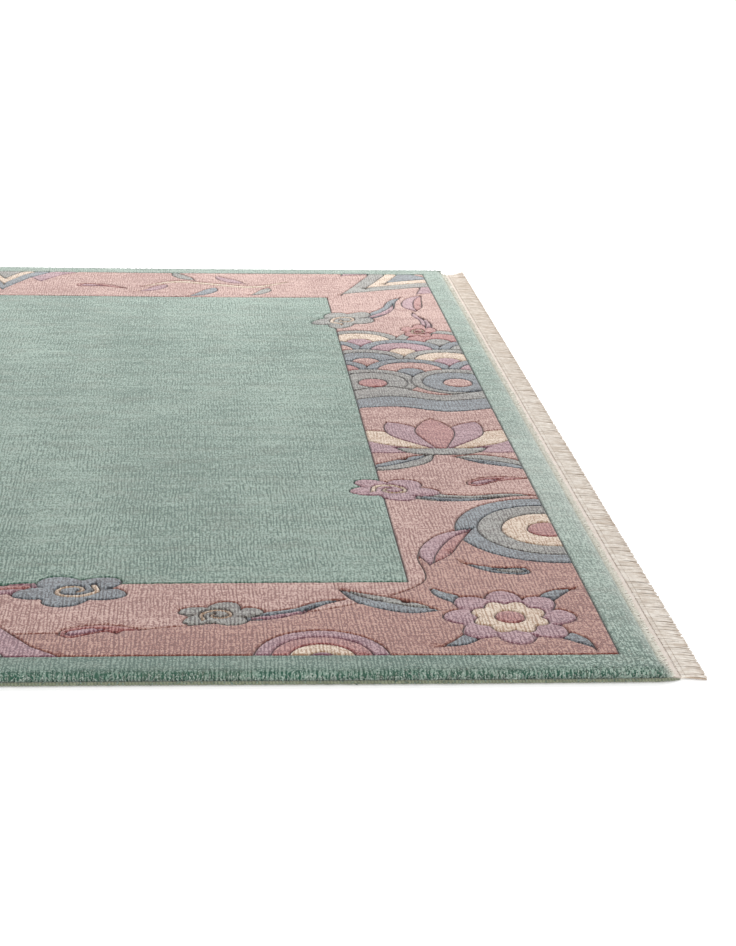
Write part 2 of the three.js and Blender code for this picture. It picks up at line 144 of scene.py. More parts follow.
def placed(outline, x, y, size, turn=0.0):
    angle = math.radians(turn)
    across = np.array([math.cos(angle), math.sin(angle)]) * size
    up = np.array([-math.sin(angle), math.cos(angle)]) * size
    return outline[:, :1] * across + outline[:, 1:] * up + (x, y)


# Each motif lists its outlines from the lowest to the topmost as (which of its yarns, outline).
# The ways below have the columns x, y and width, in shares of the motif's size.
CLOUD_TAIL = [
    (0.1, -0.12, 0.3), (0.7, -0.22, 0.34), (1.3, -0.12, 0.24), (1.85, 0.16, 0.16), (2.3, 0.24, 0),
]
TAIL_LINING = [(0.5, -0.26, 0.1), (0.9, -0.27, 0.14), (1.35, -0.17, 0.1), (1.75, 0.06, 0)]
PETAL = [(0.05, 0, 0.1), (0.62, 0, 0.42), (0.95, 0, 0.26), (1.12, 0, 0)]
CUP = [(-0.5, 0.1, 0), (-0.25, -0.04, 0.2), (0.25, -0.04, 0.2), (0.5, 0.1, 0)]
STEM = [(-1.7, -0.35, 0.05), (-0.9, 0.22, 0.16), (0, 0, 0.17), (0.9, -0.22, 0.16), (1.7, 0.35, 0.03)]
LEAF = [(-0.8, -0.08, 0), (-0.35, 0.03, 0.44), (0.3, 0.06, 0.38), (0.85, -0.1, 0)]
LEAF_HALF = [(-0.72, -0.1, 0), (-0.33, -0.09, 0.18), (0.28, -0.05, 0.17), (0.78, -0.1, 0)]
FLAME = [(-0.62, -0.05, 0), (-0.45, -0.02, 0.4), (0.2, 0.07, 0.3), (0.95, -0.18, 0)]
FLAME_HEART = [(-0.5, -0.03, 0), (-0.4, -0.01, 0.2), (-0.05, 0.04, 0.16), (0.3, 0.04, 0)]
# Columns: x, y, turn in degrees, size.
SPRAY_LEAVES = [
    (-1.35, 0.18, 62, 0.62), (-0.75, 0, -48, 0.72), (-0.15, 0.2, 58, 0.75),
    (0.45, -0.28, -58, 0.7), (1, 0, 52, 0.66),
]
# Columns: middle, half width of the foot, height, which yarn.
PEAKS = [
    (-0.62, 0.62, 0.8, 3), (0.66, 0.6, 0.7, 3), (0, 0.78, 1.45, 0), (0.02, 0.5, 0.98, 2),
    (0.03, 0.3, 0.6, 1),
]
# Columns: how far out, how far up.
PEAK_SIDE = [(0, 1), (0.2, 0.74), (0.55, 0.32), (1, 0)]


def curl(steps=34):
    rows = []
    for t in np.linspace(0, 1, 9):
        angle = 1.2 * math.pi - 2.6 * math.pi * t
        reach = 1 - 0.75 * t
        rows.append((
            0.34 * reach * math.cos(angle) - 0.02,
            0.27 * reach * math.sin(angle) - 0.02,
            0.085 * (1 - 0.35 * t),
        ))
    return ribbon(rows, steps)


def cloud():
    return [
        (1, ribbon(CLOUD_TAIL, 24)),
        (3, ribbon(TAIL_LINING, 16)),
        (0, lobed(5, 0.36, 0.78, 0.55, 60)),
        (2, curl()),
    ]


def lotus():
    petals = zip((80, -80, 52, -52, 26, -26, 0), (0, 0, 1, 1, 0, 0, 2))
    return [(yarn, placed(ribbon(PETAL, 16), 0, 0, 1, 90 + turn)) for turn, yarn in petals] + [
        (3, ribbon(CUP, 16)),
    ]


def rosette():
    leaves = []
    for turn in (45, 135, 225, 315):
        angle = math.radians(turn)
        middle = 0.95 * math.cos(angle), 0.95 * math.sin(angle)
        leaves.append((3, placed(ribbon(LEAF, 16), *middle, 0.5, turn)))
    return leaves + [
        (0, lobed(8, 0.25, 0.88, 0.88, 96)),
        (1, lobed(8, 0.22, 0.52, 0.52, 64, turn=math.pi / 8)),
        (2, disc(0.2)),
    ]


def spray():
    leaves = []
    for number, (x, y, turn, size) in enumerate(SPRAY_LEAVES):
        angle, reach = math.radians(turn), 0.9 * size
        middle = x + reach * math.cos(angle), y + reach * math.sin(angle)
        leaves.append((1 + number % 3, placed(ribbon(LEAF, 16), *middle, 0.9 * size, turn)))
    return leaves + [(0, ribbon(STEM, 36))]


def peaks():
    outlines = []
    for x, half, height, yarn in PEAKS:
        right = [(x + half * out, height * up) for out, up in PEAK_SIDE]
        left = [(x - half * out, height * up) for out, up in PEAK_SIDE[1:]]
        outlines.append((yarn, np.array(left[::-1] + right)))
    return outlines


def sun():
    return [(number, disc(radius, 48)) for number, radius in enumerate((1, 0.76, 0.5, 0.22))]


def leaf():
    return [(0, ribbon(LEAF, 18)), (1, ribbon(LEAF_HALF, 14))]


def flame():
    return [(0, ribbon(FLAME, 22)), (1, ribbon(FLAME_HEART, 16))]


# Columns: motif, x, y, size, turn in degrees, its yarns.
BORDER_MOTIFS = [
    (peaks, BAND_X - 0.012, BAND_Y - 0.012, 0.165, 135, ("grey", "slate", "cream", "mauve")),
    (leaf, BAND_X - 0.045, 0.695, 0.085, 80, ("mauve", "brick")),
    (cloud, BAND_X - 0.062, 0.478, 0.062, 82, ("brick", "mauve", "cream", "mauve")),
    (leaf, FIELD_X + 0.035, -0.285, 0.085, -150, ("grey", "slate")),
    (leaf, FIELD_X + 0.180, -0.285, 0.085, -30, ("grey", "slate")),
    (lotus, FIELD_X + 0.105, -0.225, 0.140, 0, ("mauve", "cream", "brick", "grey")),
    (flame, FIELD_X + 0.155, -0.365, 0.060, 20, ("brick", "mauve")),
    (sun, BAND_X - 0.010, -0.560, 0.120, 0, ("slate", "grey", "cream", "brick")),
    (leaf, FIELD_X + 0.060, -0.615, 0.090, 62, ("mauve", "brick")),
    (flame, FIELD_X + 0.120, -0.700, 0.055, 165, ("slate", "grey")),
    (rosette, BAND_X - 0.105, -BAND_Y + 0.105, 0.088, 0, ("mauve", "cream", "brick", "slate")),
    (leaf, 1.215, -0.800, 0.080, 150, ("slate", "grey")),
    (sun, 1.130, -BAND_Y - 0.008, 0.075, 0, ("mauve", "brick", "cream", "mauve")),
    (cloud, 1.020, -0.835, 0.066, 10, ("grey", "slate", "cream", "mauve")),
    (flame, 0.880, -0.880, 0.062, 12, ("brick", "mauve")),
    (peaks, 0.700, -BAND_Y, 0.118, 0, ("grey", "slate", "cream", "mauve")),
    (leaf, 0.190, -0.865, 0.085, 12, ("slate", "grey")),
    (rosette, 0.050, -BAND_Y + 0.105, 0.075, 0, ("mauve", "cream", "brick", "grey")),
    (leaf, -0.090, -0.850, 0.085, 168, ("slate", "grey")),
    (peaks, -0.620, -BAND_Y, 0.110, 0, ("slate", "grey", "cream", "mauve")),
    (flame, -0.800, -0.830, 0.065, 170, ("brick", "mauve")),
    (spray, -1.030, -BAND_Y + 0.100, 0.085, -2, ("cream", "grey", "mauve", "slate")),
]
# These reach out of the border over the field.
CROSSING_MOTIFS = [
    (cloud, FIELD_X + 0.020, 0.560, 0.095, 50, ("grey", "slate", "cream", "mauve")),
    (cloud, FIELD_X + 0.015, -0.400, 0.084, -14, ("mauve", "grey", "cream", "slate")),
    (cloud, 0.850, -FIELD_Y - 0.020, 0.090, 190, ("slate", "mauve", "cream", "brick")),
    (cloud, -0.320, -FIELD_Y - 0.025, 0.100, 188, ("mauve", "grey", "cream", "slate")),
]

# A sea of overlapping scales in the middle of each end, with its shore below.
SCALE_RADIUS = 0.076
SCALE_ROWS = 5
SCALE_TOP = 0.405
SCALE_STEP = 0.066
SCALE_PITCH = 0.140
SCALE_YARNS = ("cream", "brick", "rose", "mauve", "grey", "slate")
SHORE_FOOT = (-0.015, -0.002, -0.030, -0.004)
SHORE_LEVELS = [("grey", (0.075, 0.110, 0.062, 0.100)), ("slate", (0.028, 0.055, 0.030, 0.050))]
GROUND_EDGE = [
    (0.620, -0.950), (0.700, -0.900), (0.950, -0.875), (1.150, -0.820), (1.262, -0.742),
    (1.270, -0.640), (1.340, -0.575), (1.410, -0.600), (1.470, -0.540),
]


def scales():
    outlines = []
    for row in range(SCALE_ROWS):
        shifted = row % 2
        y = SCALE_TOP - row * SCALE_STEP
        x = FIELD_X + (-0.035 if shifted else 0.035)
        while x < BAND_X + SCALE_RADIUS / 2:
            number = len(outlines) // 3
            outlines += [
                ("slate" if shifted else "grey", placed(disc(1, 36), x, y, SCALE_RADIUS)),
                (SCALE_YARNS[number % 6], placed(disc(0.76, 32), x, y - 0.004, SCALE_RADIUS)),
                (SCALE_YARNS[(number + 3) % 6], placed(disc(0.32, 20), x, y - 0.008, SCALE_RADIUS)),
            ]
            x += SCALE_PITCH
    return outlines


def shore():
    def line(heights):
        across = FIELD_X - 0.02, FIELD_X + 0.06, FIELD_X + 0.14, BAND_X + 0.02
        return smooth_way(list(zip(across, heights)), 24, runs_on=False)
    foot = line(SHORE_FOOT)
    return [(yarn, np.vstack([foot, line(heights)[::-1]])) for yarn, heights in SHORE_LEVELS]


def deep_ground():
    edge = smooth_way(GROUND_EDGE, 60, runs_on=False)
    corner = [(edge[0][0], -BAND_Y - 0.01), (BAND_X + 0.02, -BAND_Y - 0.01)]
    return [("deep_rose", np.vstack([corner, edge[::-1]]))]


def from_table(rows):
    return [
        (yarns[which], placed(outline, x, y, size, turn))
        for motif, x, y, size, turn, yarns in rows
        for which, outline in motif()
    ]


drawing = []
for crosses, half in (
    (False, deep_ground() + scales() + shore() + from_table(BORDER_MOTIFS)),
    (True, from_table(CROSSING_MOTIFS)),
):
    drawing += [(yarn, outline, crosses) for yarn, outline in half]
    drawing += [(yarn, -outline, crosses) for yarn, outline in half]

GROUNDS = ("green", "rose", "green")
region_yarns = np.array(GROUNDS + tuple(yarn for yarn, _, _ in drawing))


def inside(outline, spots):
    x, y = spots.T
    hit = np.zeros(len(spots), bool)
    for (x1, y1), (x2, y2) in zip(outline, np.roll(outline, -1, axis=0)):
        if y1 != y2:
            hit ^= ((y1 > y) != (y2 > y)) & (x < (x2 - x1) * (y - y1) / (y2 - y1) + x1)
    return hit


def regions_at(spots):
    """The number of the topmost region at each spot: band, border ground, field, then the drawing."""
    in_band = (np.abs(spots[:, 0]) < BAND_X) & (np.abs(spots[:, 1]) < BAND_Y)
    in_field = (np.abs(spots[:, 0]) < FIELD_X) & (np.abs(spots[:, 1]) < FIELD_Y)
    found = np.where(in_field, 2, np.where(in_band, 1, 0))
    for number, (_, outline, crosses) in enumerate(drawing, len(GROUNDS)):
        low, high = outline.min(axis=0), outline.max(axis=0)
        near = in_band & (crosses | ~in_field) & ((spots > low) & (spots < high)).all(axis=1)
        near = np.flatnonzero(near)
        found[near[inside(outline, spots[near])]] = number
    return found


# Wool pile, one piece for each yarn
# Cut wool tufts, knotted row by row across the rug and sheared level. Scissors then carve a groove
# along every outline of the drawing. The rows show as fine ribs across the rug.

THICKNESS = 0.013
PILE_FOOT = 0.0026
GROOVE_DEPTH = 0.0042
GROOVE_REACH = 0.0021
RIM_ROUNDING = 0.005
GROOVE_SHADE = 0.0036
RIM_SHADE = 0.115
RIM_BLEND = 0.060
END_SLOPE = 0.010
END_DROP = 0.0092
OUTLINE_STEP = 0.007
FILL_STEP = 0.015
CORD_WIDTH = 0.0055
TOUCH_GAP = 0.0003
WEB_LENGTH = 0.0145
CORD_RUNS_ON = 0.0137
CORD_END = HALF_LENGTH + CORD_RUNS_ON
CORNER_DRAW_IN = 0.0065
CORNER_RUN = 0.026

rng = np.random.default_rng(11)


def drawn_in(x):
    """How far the corners pull the sides in at x."""
    return CORNER_DRAW_IN * np.maximum(0, 1 - (CORD_END - np.abs(x)) / CORNER_RUN) ** 2


def side_line(offset, step, reach):
    """The near side from left to right, as far as reach."""
    side_x = CORD_END - CORNER_RUN
    straight = np.linspace(-side_x, side_x, int(2 * side_x / step))
    corner = np.linspace(side_x, reach, 9)[1:]
    x = np.concatenate([-corner[::-1], straight, corner])
    return np.stack([x, -HALF_WIDTH + offset + drawn_in(x)], axis=1)


def rug_outline(step):
    side = side_line(CORD_WIDTH + TOUCH_GAP, step, HALF_LENGTH)
    corner_y = side[-1][1]
    ends_y = np.linspace(corner_y, -corner_y, int(-2 * corner_y / step))[1:-1]
    end = np.stack([np.full(len(ends_y), HALF_LENGTH), ends_y], axis=1)
    half = np.vstack([side, end])
    return np.vstack([half, -half])


WANDER = 0.0045
WANDER_WAVE = 1.7
WANDER_CREST = 0.65
WANDER_REACH = 0.4


def lie(points):
    """Moves points to where the lying rug has them: its sides wander a few millimetres."""
    side = np.where(points[:, 1] < 0, 1, -1)
    t = np.clip((np.abs(points[:, 1]) - (HALF_WIDTH - WANDER_REACH)) / WANDER_REACH, 0, 1)
    share = t * t * (3 - 2 * t)
    wave = np.cos(2 * math.pi * (side * points[:, 0] - WANDER_CREST) / WANDER_WAVE)
    moved = points.copy()
    moved[:, 1] += side * share * WANDER * wave
    return moved


def triangulated(points, edges):
    """Points and triangles, all anticlockwise, with every edge kept."""
    found = geometry.delaunay_2d_cdt([Vector(p) for p in points], edges, [], 0, 1e-5, False)
    return np.array([tuple(p) for p in found[0]]), np.array([tuple(f) for f in found[2]])


def loop_edges(first, count):
    return [(first + index, first + (index + 1) % count) for index in range(count)]


def parting_edges(triangles, labels):
    """Edges between two triangles with different labels."""
    sides = triangles[:, [0, 1, 1, 2, 2, 0]].reshape(-1, 2)
    owner = np.repeat(labels, 3)
    order = np.lexsort((sides.max(axis=1), sides.min(axis=1)))
    ends = np.sort(sides, axis=1)[order]
    owner = owner[order]
    parted = (ends[1:] == ends[:-1]).all(axis=1) & (owner[1:] != owner[:-1])
    return ends[:-1][parted]


rim = rug_outline(OUTLINE_STEP)
rim_edges = loop_edges(0, len(rim))
frame_lines = [
    np.array([(-x, -y), (x, -y), (x, y), (-x, y)]) for x, y in ((BAND_X, BAND_Y), (FIELD_X, FIELD_Y))
]
points, edges = [], []
for outline in [rim, *frame_lines, *(outline for _, outline, _ in drawing)]:
    edges += loop_edges(len(points), len(outline))
    points += list(outline)
points, triangles = triangulated(points, edges)
middles = points[triangles].mean(axis=1)
kept = inside(rim, middles)
triangles, middles = triangles[kept], middles[kept]
carved_edges = parting_edges(triangles, regions_at(middles))


def split_edges(points, edges, step):
    """The edges cut into stretches no longer than step, as new points and edges."""
    place_of, new_points, new_edges = {}, [], []

    def number(point):
        key = tuple(np.round(point, 6))
        if key not in place_of:
            place_of[key] = len(new_points)
            new_points.append(point)
        return place_of[key]

    for a, b in edges:
        start, stop = points[a], points[b]
        count = max(1, math.ceil(np.linalg.norm(stop - start) / step))
        chain = [number(start + (stop - start) * k / count) for k in range(count + 1)]
        new_edges += [(c, d) for c, d in zip(chain, chain[1:]) if c != d]
    return np.array(new_points), new_edges


carved_points, carved_edges = split_edges(points, carved_edges, OUTLINE_STEP)
line_points = np.vstack([rim, carved_points])
line_edges = rim_edges + [(a + len(rim), b + len(rim)) for a, b in carved_edges]


def tree_of(spots):
    """A tree that finds the nearest of the spots."""
    tree = kdtree.KDTree(len(spots))
    for number, (x, y) in enumerate(spots):
        tree.insert((x, y, 0), number)
    tree.balance()
    return tree


def along_edges(points, edges, step):
    """Points on the edges, about a step apart."""
    ends = np.array(edges)
    starts, stops = points[ends[:, 0]], points[ends[:, 1]]
    return np.vstack([
        starts + (stops - starts) * share for share in np.arange(0, 1, step / OUTLINE_STEP)
    ])


NEAREST_STEP = 0.001
carved_tree = tree_of(along_edges(carved_points, carved_edges, NEAREST_STEP))
rim_tree = tree_of(along_edges(rim, rim_edges, NEAREST_STEP))


def distances(tree, spots):
    return np.array([tree.find((x, y, 0))[2] for x, y in spots])


def beside(points, edges, reach, shares):
    """Points at a distance from both sides of the edges."""
    ends = np.array(edges)
    starts, stops = points[ends[:, 0]], points[ends[:, 1]]
    along = stops - starts
    across = np.stack([-along[:, 1], along[:, 0]], axis=1) / np.linalg.norm(along, axis=1)[:, None]
    rows = []
    for share in shares:
        rows += [starts + along * share + across * side * reach for side in (-1, 1)]
    return np.vstack(rows)


def thinned(spots, apart):
    """The spots without those that crowd an earlier one."""
    cells, chosen = {}, []
    for spot in spots:
        cell = tuple((spot / apart).astype(int))
        near = [
            other
            for dx in (-1, 0, 1) for dy in (-1, 0, 1)
            for other in cells.get((cell[0] + dx, cell[1] + dy), ())
        ]
        if all((spot[0] - x) ** 2 + (spot[1] - y) ** 2 > apart ** 2 for x, y in near):
            cells.setdefault(cell, []).append(spot)
            chosen.append(spot)
    return np.array(chosen)


# Columns: distance from the line, where along each stretch, how close two points may be.
GROOVE_ROWS = [(0.0010, (0.5,), 0.0012), (0.0021, (0.0, 0.5), 0.0024), (0.0034, (0.25,), 0.0036)]
RIM_ROWS = [(0.0012, (0.5,), 0.0014), (0.0028, (0.0,), 0.003), (0.0052, (0.5,), 0.003)]

CLEAR_SHARE = 0.85
RIM_CLEAR = 0.003
FILL_SHIFT = 0.3
FILL_FROM_GROOVE = 0.008
FILL_FROM_RIM = 0.009

extra = []
for line, stretches, rows in ((carved_points, carved_edges, GROOVE_ROWS), (rim, rim_edges, RIM_ROWS)):
    for reach, shares, apart in rows:
        spots = thinned(beside(line, stretches, reach, shares), apart)
        off_grooves = distances(carved_tree, spots) > CLEAR_SHARE * reach
        off_rim = distances(rim_tree, spots) > CLEAR_SHARE * min(reach, RIM_CLEAR)
        extra.append(spots[off_grooves & off_rim])
columns = int(2 * HALF_LENGTH / FILL_STEP)
rows = int(2 * HALF_WIDTH / FILL_STEP)
grid = np.stack(np.meshgrid(np.arange(columns) + 0.5, np.arange(rows) + 0.5), axis=-1).reshape(-1, 2)
grid = grid + rng.uniform(-FILL_SHIFT, FILL_SHIFT, grid.shape)
grid = grid * FILL_STEP - (HALF_LENGTH, HALF_WIDTH)
clear = (distances(carved_tree, grid) > FILL_FROM_GROOVE) & (distances(rim_tree, grid) > FILL_FROM_RIM)
extra.append(grid[clear])
extra = np.vstack(extra)
extra = extra[inside(rim, extra)]

coarse_points, coarse_triangles = triangulated(line_points, line_edges)
fine_points, fine_triangles = triangulated(np.vstack([line_points, extra]), line_edges)


def with_yarns(points, triangles):
    middles = points[triangles].mean(axis=1)
    kept = inside(rim, middles)
    return triangles[kept], region_yarns[regions_at(middles[kept])]


coarse_triangles, coarse_yarns = with_yarns(coarse_points, coarse_triangles)
fine_triangles, fine_yarns = with_yarns(fine_points, fine_triangles)

GROOVE_FALL = 1.7
# Columns: height of the swell, radians a metre along x and along y.
SWELLS = [(0.00035, 9.1, 2.3), (0.0003, -5.1, 13.7)]
UNEVENNESS = 0.0002

from_groove = distances(carved_tree, fine_points)
carved_away = GROOVE_DEPTH * np.clip(1 - from_groove / GROOVE_REACH, 0, 1) ** GROOVE_FALL
from_rim = np.clip(distances(rim_tree, fine_points) / RIM_ROUNDING, 0, 1)
rounded_away = RIM_ROUNDING * (1 - np.sqrt(1 - (1 - from_rim) ** 2))
swell = rng.uniform(-UNEVENNESS, UNEVENNESS, len(fine_points))
for high, along, across in SWELLS:
    swell += high * np.sin(along * fine_points[:, 0] + across * fine_points[:, 1])
end_slope = np.clip(1 - (HALF_LENGTH - np.abs(fine_points[:, 0])) / END_SLOPE, 0, 1)
sloped_away = np.maximum(rounded_away, END_DROP * end_slope ** 2)
fine_heights = THICKNESS - carved_away - sloped_away + swell
pile_shade = np.clip(1 - from_groove / GROOVE_SHADE, 0, 1)
# The near side's band is painted darker towards the rim: a painted shade that the material reads as rim.
from_near_side = HALF_WIDTH - CORD_WIDTH + fine_points[:, 1]
near_band_shade = np.clip((RIM_SHADE - from_near_side) / RIM_BLEND, 0, 1)


# How much paler the wool is painted at each place on the rug: at 1 it takes the pale colour fully, and
# below 0 the wool is deeper. This is painted light and shade: the far side and the ends are painted
# lighter, and the near side's band darkest.
# Columns: place from the near to the far side, how much paler.
GROUND_PALER = [(-0.75, -0.16), (-0.1, -0.15), (0.2, -0.06), (0.5, 0.02), (0.95, 0.04)]
END_PALER = [
    (-1.0, -0.02), (-0.8, 0.10), (-0.66, 0.08), (-0.5, 0.15), (-0.22, 0.17), (-0.07, 0.09), (0.37, 0.02),
    (0.51, 0.06), (0.95, 0.11),
]
# Columns: place from the middle to the end, how much paler the near side's band is there.
NEAR_PALER = [(0.85, -0.42), (1.2, -0.34), (1.36, -0.26), (1.44, 0.04)]
FAR_PALER = 0.09


def paleness(spots):
    """How much paler or deeper the wool is painted at each spot, as painted light and shade."""
    x, y = np.abs(spots[:, 0]), spots[:, 1]
    paler = np.interp(y, *zip(*GROUND_PALER))
    paler = np.where(y > BAND_Y, FAR_PALER, paler)
    paler = np.where(y < -BAND_Y, np.interp(x, *zip(*NEAR_PALER)), paler)
    return np.where(x > BAND_X, np.interp(y, *zip(*END_PALER)), paler)


def mesh_piece(name, vertices, faces, node, slot, material, **marks):
    """A piece that stands for one of the part's nodes, smooth but for edges over 60 degrees.

    marks are numbers kept at each vertex for the material.
    """
    mesh = bpy.data.meshes.new(name)
    mesh.from_pydata(np.asarray(vertices).tolist(), [], faces)
    mesh.validate()
    mesh.polygons.foreach_set("use_smooth", [True] * len(mesh.polygons))
    mesh.set_sharp_from_angle(angle=math.radians(60))
    piece = bpy.data.objects.new(name, mesh)
    bpy.context.collection.objects.link(piece)
    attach(piece, "root")
    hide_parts(node)
    for label, values in marks.items():
        attribute = mesh.attributes.new(label, "FLOAT", "POINT")
        attribute.data.foreach_set("value", np.asarray(values, float).ravel())
    mesh.materials.append(material)
    return piece


def closed_body(top, low, low_height):
    """A body with a relief above, a plain underside and walls between.

    top and low are (points, triangles); the top's points have heights. It gives the vertices, the faces
    and the numbers of the top's points that come first among the vertices.
    """
    top_points, top_triangles = top
    low_points, low_triangles = low
    used = np.unique(top_triangles)
    number_of = {old: new for new, old in enumerate(used)}
    vertices = [tuple(top_points[old]) for old in used]
    faces = [tuple(number_of[v] for v in face) for face in top_triangles]
    low_of = {}

    def foot(x, y):
        key = round(x, 5), round(y, 5)
        if key not in low_of:
            low_of[key] = len(vertices)
            vertices.append((x, y, low_height))
        return low_of[key]

    faces += [tuple(foot(*low_points[v]) for v in face[::-1]) for face in low_triangles]
    directed = {
        side for a, b, c in faces[:len(top_triangles)] for side in ((a, b), (b, c), (c, a))
    }
    for a, b in sorted(directed):
        if (b, a) not in directed:
            faces.append((a, foot(*vertices[a][:2]), foot(*vertices[b][:2]), b))
    return np.array(vertices), faces, used


def dyed(red, green, blue):
    """A colour from its 0 to 255 screen values."""
    shares = [value / 255 for value in (red, green, blue)]
    return (*(s / 12.92 if s <= 0.04 else ((s + 0.055) / 1.055) ** 2.4 for s in shares), 1)


def add(tree, kind, inputs=(), output=0, **settings):
    """A shader node with its settings and inputs, by place or by name; gives one of its outputs."""
    made = tree.nodes.new("ShaderNode" + kind)
    for setting, value in settings.items():
        setattr(made, setting, value)
    for key, value in inputs.items() if isinstance(inputs, dict) else enumerate(inputs):
        if isinstance(value, bpy.types.NodeSocket):
            tree.links.new(value, made.inputs[key])
        else:
            made.inputs[key].default_value = value
    return made.outputs[output]


def maths(tree, operation, *values):
    return add(tree, "Math", values, operation=operation)


def kept_at_vertices(tree, label):
    return add(tree, "Attribute", output=2, attribute_name=label)


def spread(tree, value, low, high, to_low=0.0, to_high=1.0):
    """The value's share of the way from low to high, held between to_low and to_high."""
    return add(tree, "MapRange", (value, low, high, to_low, to_high), interpolation_type="SMOOTHSTEP")


# The pale colour that the painted light mixes in.
PAINTED_LIGHT_PALE = dyed(214, 212, 206)


def paled(tree, color, shade):
    """The colour with painted light and shade: paler or deeper by the share that the piece keeps at each
    vertex.
    """
    share = kept_at_vertices(tree, "paler")
    color = mixed(tree, maths(tree, "MAXIMUM", maths(tree, "MULTIPLY", share, -1.0), 0.0), color, shade)
    return mixed(tree, maths(tree, "MAXIMUM", share, 0.0), color, PAINTED_LIGHT_PALE)


def patches(tree, place, stretch, low=0.3, high=0.7, detail=2.0):
    """Soft patches from 0 to 1; stretch is how many go into a metre along x, y and z."""
    stretched = add(tree, "VectorMath", (place, stretch), operation="MULTIPLY")
    noise = add(tree, "TexNoise", {"Vector": stretched, "Scale": 1.0, "Detail": detail})
    return spread(tree, noise, low, high)


def mixed(tree, share, first, second, blend="MIX"):
    return add(
        tree, "Mix", {0: share, 6: first, 7: second}, output=2, data_type="RGBA", blend_type=blend,
    )


def new_group(name, inputs, outputs):
    tree = bpy.data.node_groups.new(name, "ShaderNodeTree")
    for label, kind in inputs:
        tree.interface.new_socket(label, in_out="INPUT", socket_type="NodeSocket" + kind)
    for label, kind in outputs:
        tree.interface.new_socket(label, in_out="OUTPUT", socket_type="NodeSocket" + kind)
    return tree, tree.nodes.new("NodeGroupInput").outputs, tree.nodes.new("NodeGroupOutput").inputs


def weighed(tree, start, *parts):
    """start plus each (value, weight), where a value of 0.5 adds nothing."""
    total = start
    for value, weight in parts:
        total = maths(tree, "MULTIPLY_ADD", maths(tree, "SUBTRACT", value, 0.5), weight, total)
    return total


ROW_PITCH = 0.0045
ROW_SWAY = 0.0045
ROW_WOBBLE = 0.0026
SECOND_ROW = 0.2
ROW_WEIGHT = 0.25
PARTING_WEIGHT = -1.9
GAP_WEIGHT = -0.5
GAP_LIGHTER = 0.08
# Columns: where the ribs are faint, where they are plain, how strong they are at the first.
PLAIN_NEARBY = (0.1, -1.0, 0.35)
PLAIN_FROM_END = (0.04, 0.16, 0.4)
RIM_CONTRAST = 0.50
RIM_DARKER = -0.17
MEAN_NAP = 0.54
FLECK_SHARE = 0.4
MOTTLE_SHARE = 0.11
# The last millimetres towards the web are painted into a pale cream, where the tufts thin out over the
# web, and the end band takes a faint painted haze of light; both start a little later at the near corner.
END_FADE = dyed(212, 209, 198)
FADED = (0.0050, -0.0045)
FADE_RAGGED = 0.002
HAZED = (0.018, 0.002, 0.12)
CORNER_LATER = 0.0045
CORNER_Y = (0.060 - HALF_WIDTH, 0.012 - HALF_WIDTH)
# The tufts shade one another at the foot and in the carved grooves.
FOOT_DARK = (0.0064, 0.0028, 0.50)
FOOT_RAGGED = 0.003
FOOT_FROM_END = (0.001, 0.012)
GROOVE_DARK = (0.66, 0.92)
GROOVE_RAGGED = 0.4
DEEP_TINT = (0.34, 0.30, 0.29, 1)

knotted_wool, given, gives = new_group(
    "knotted wool",
    [("Yarn", "Color"), ("Shade", "Color"), ("Tip", "Color"), ("Fleck", "Color"), ("Contrast", "Float")],
    [("Color", "Color"), ("Height", "Float")],
)
tree = knotted_wool
place = add(tree, "TexCoord", output=3)
x, y, z = (add(tree, "SeparateXYZ", [place], output=number) for number in range(3))
band_shade = kept_at_vertices(tree, "rim")
carved = kept_at_vertices(tree, "carved")

# Rows of knots as ribs that wander, with partings between some of them
sway = maths(tree, "MULTIPLY", patches(tree, place, (4, 3, 1)), ROW_SWAY)
sway = maths(tree, "MULTIPLY_ADD", patches(tree, place, (75, 13, 1)), ROW_WOBBLE, sway)
across_rows = maths(tree, "MULTIPLY", maths(tree, "ADD", x, sway), 2 * math.pi / ROW_PITCH)
rib = maths(tree, "SINE", across_rows)
second_rib = maths(tree, "SINE", maths(tree, "MULTIPLY", across_rows, 0.5))
from_end = maths(tree, "SUBTRACT", HALF_LENGTH, maths(tree, "ABSOLUTE", x))
plain = maths(
    tree, "MULTIPLY",
    spread(tree, y, *PLAIN_NEARBY), spread(tree, from_end, *PLAIN_FROM_END),
)
rows = maths(tree, "MULTIPLY_ADD", second_rib, SECOND_ROW, rib)
rows = maths(tree, "MULTIPLY", rows, patches(tree, place, (70, 45, 1), 0.3, 0.65))
rows = maths(tree, "MULTIPLY", rows, plain)
parted = patches(tree, place, (230, 55, 1), 0.46, 0.57)
partings = maths(tree, "MULTIPLY", spread(tree, rib, -0.2, -0.9), parted)
partings = maths(tree, "MULTIPLY", partings, patches(tree, place, (13, 9, 1), 0.38, 0.58))
partings = maths(tree, "MULTIPLY", partings, plain)

# Single tufts, and the wider changes of shade from dye and tread
streaks = patches(tree, place, (420, 55, 1))
dashes = patches(tree, place, (480, 110, 1))
knots = patches(tree, place, (440, 380, 300))
fibres = patches(tree, place, (800, 650, 400))
gaps = patches(tree, place, (360, 260, 1), 0.52, 0.64)
weft_lines = patches(tree, place, (14, 240, 1))
abrash = patches(tree, place, (5, 1.1, 1), 0.3, 0.7, 3.0)
clouding = patches(tree, place, (1.6, 2.2, 1), 0.3, 0.7)
bands = patches(tree, place, (3, 45, 1), 0.35, 0.65)
grain = weighed(
    tree, 0.0, (streaks, 0.30), (dashes, 0.48), (knots, 0.70), (fibres, 0.40), (weft_lines, 0.34),
)
grain = maths(tree, "MULTIPLY_ADD", rows, ROW_WEIGHT, grain)
grain = maths(tree, "MULTIPLY_ADD", partings, PARTING_WEIGHT, grain)
grain = maths(tree, "MULTIPLY_ADD", gaps, GAP_WEIGHT, maths(tree, "ADD", grain, GAP_LIGHTER))
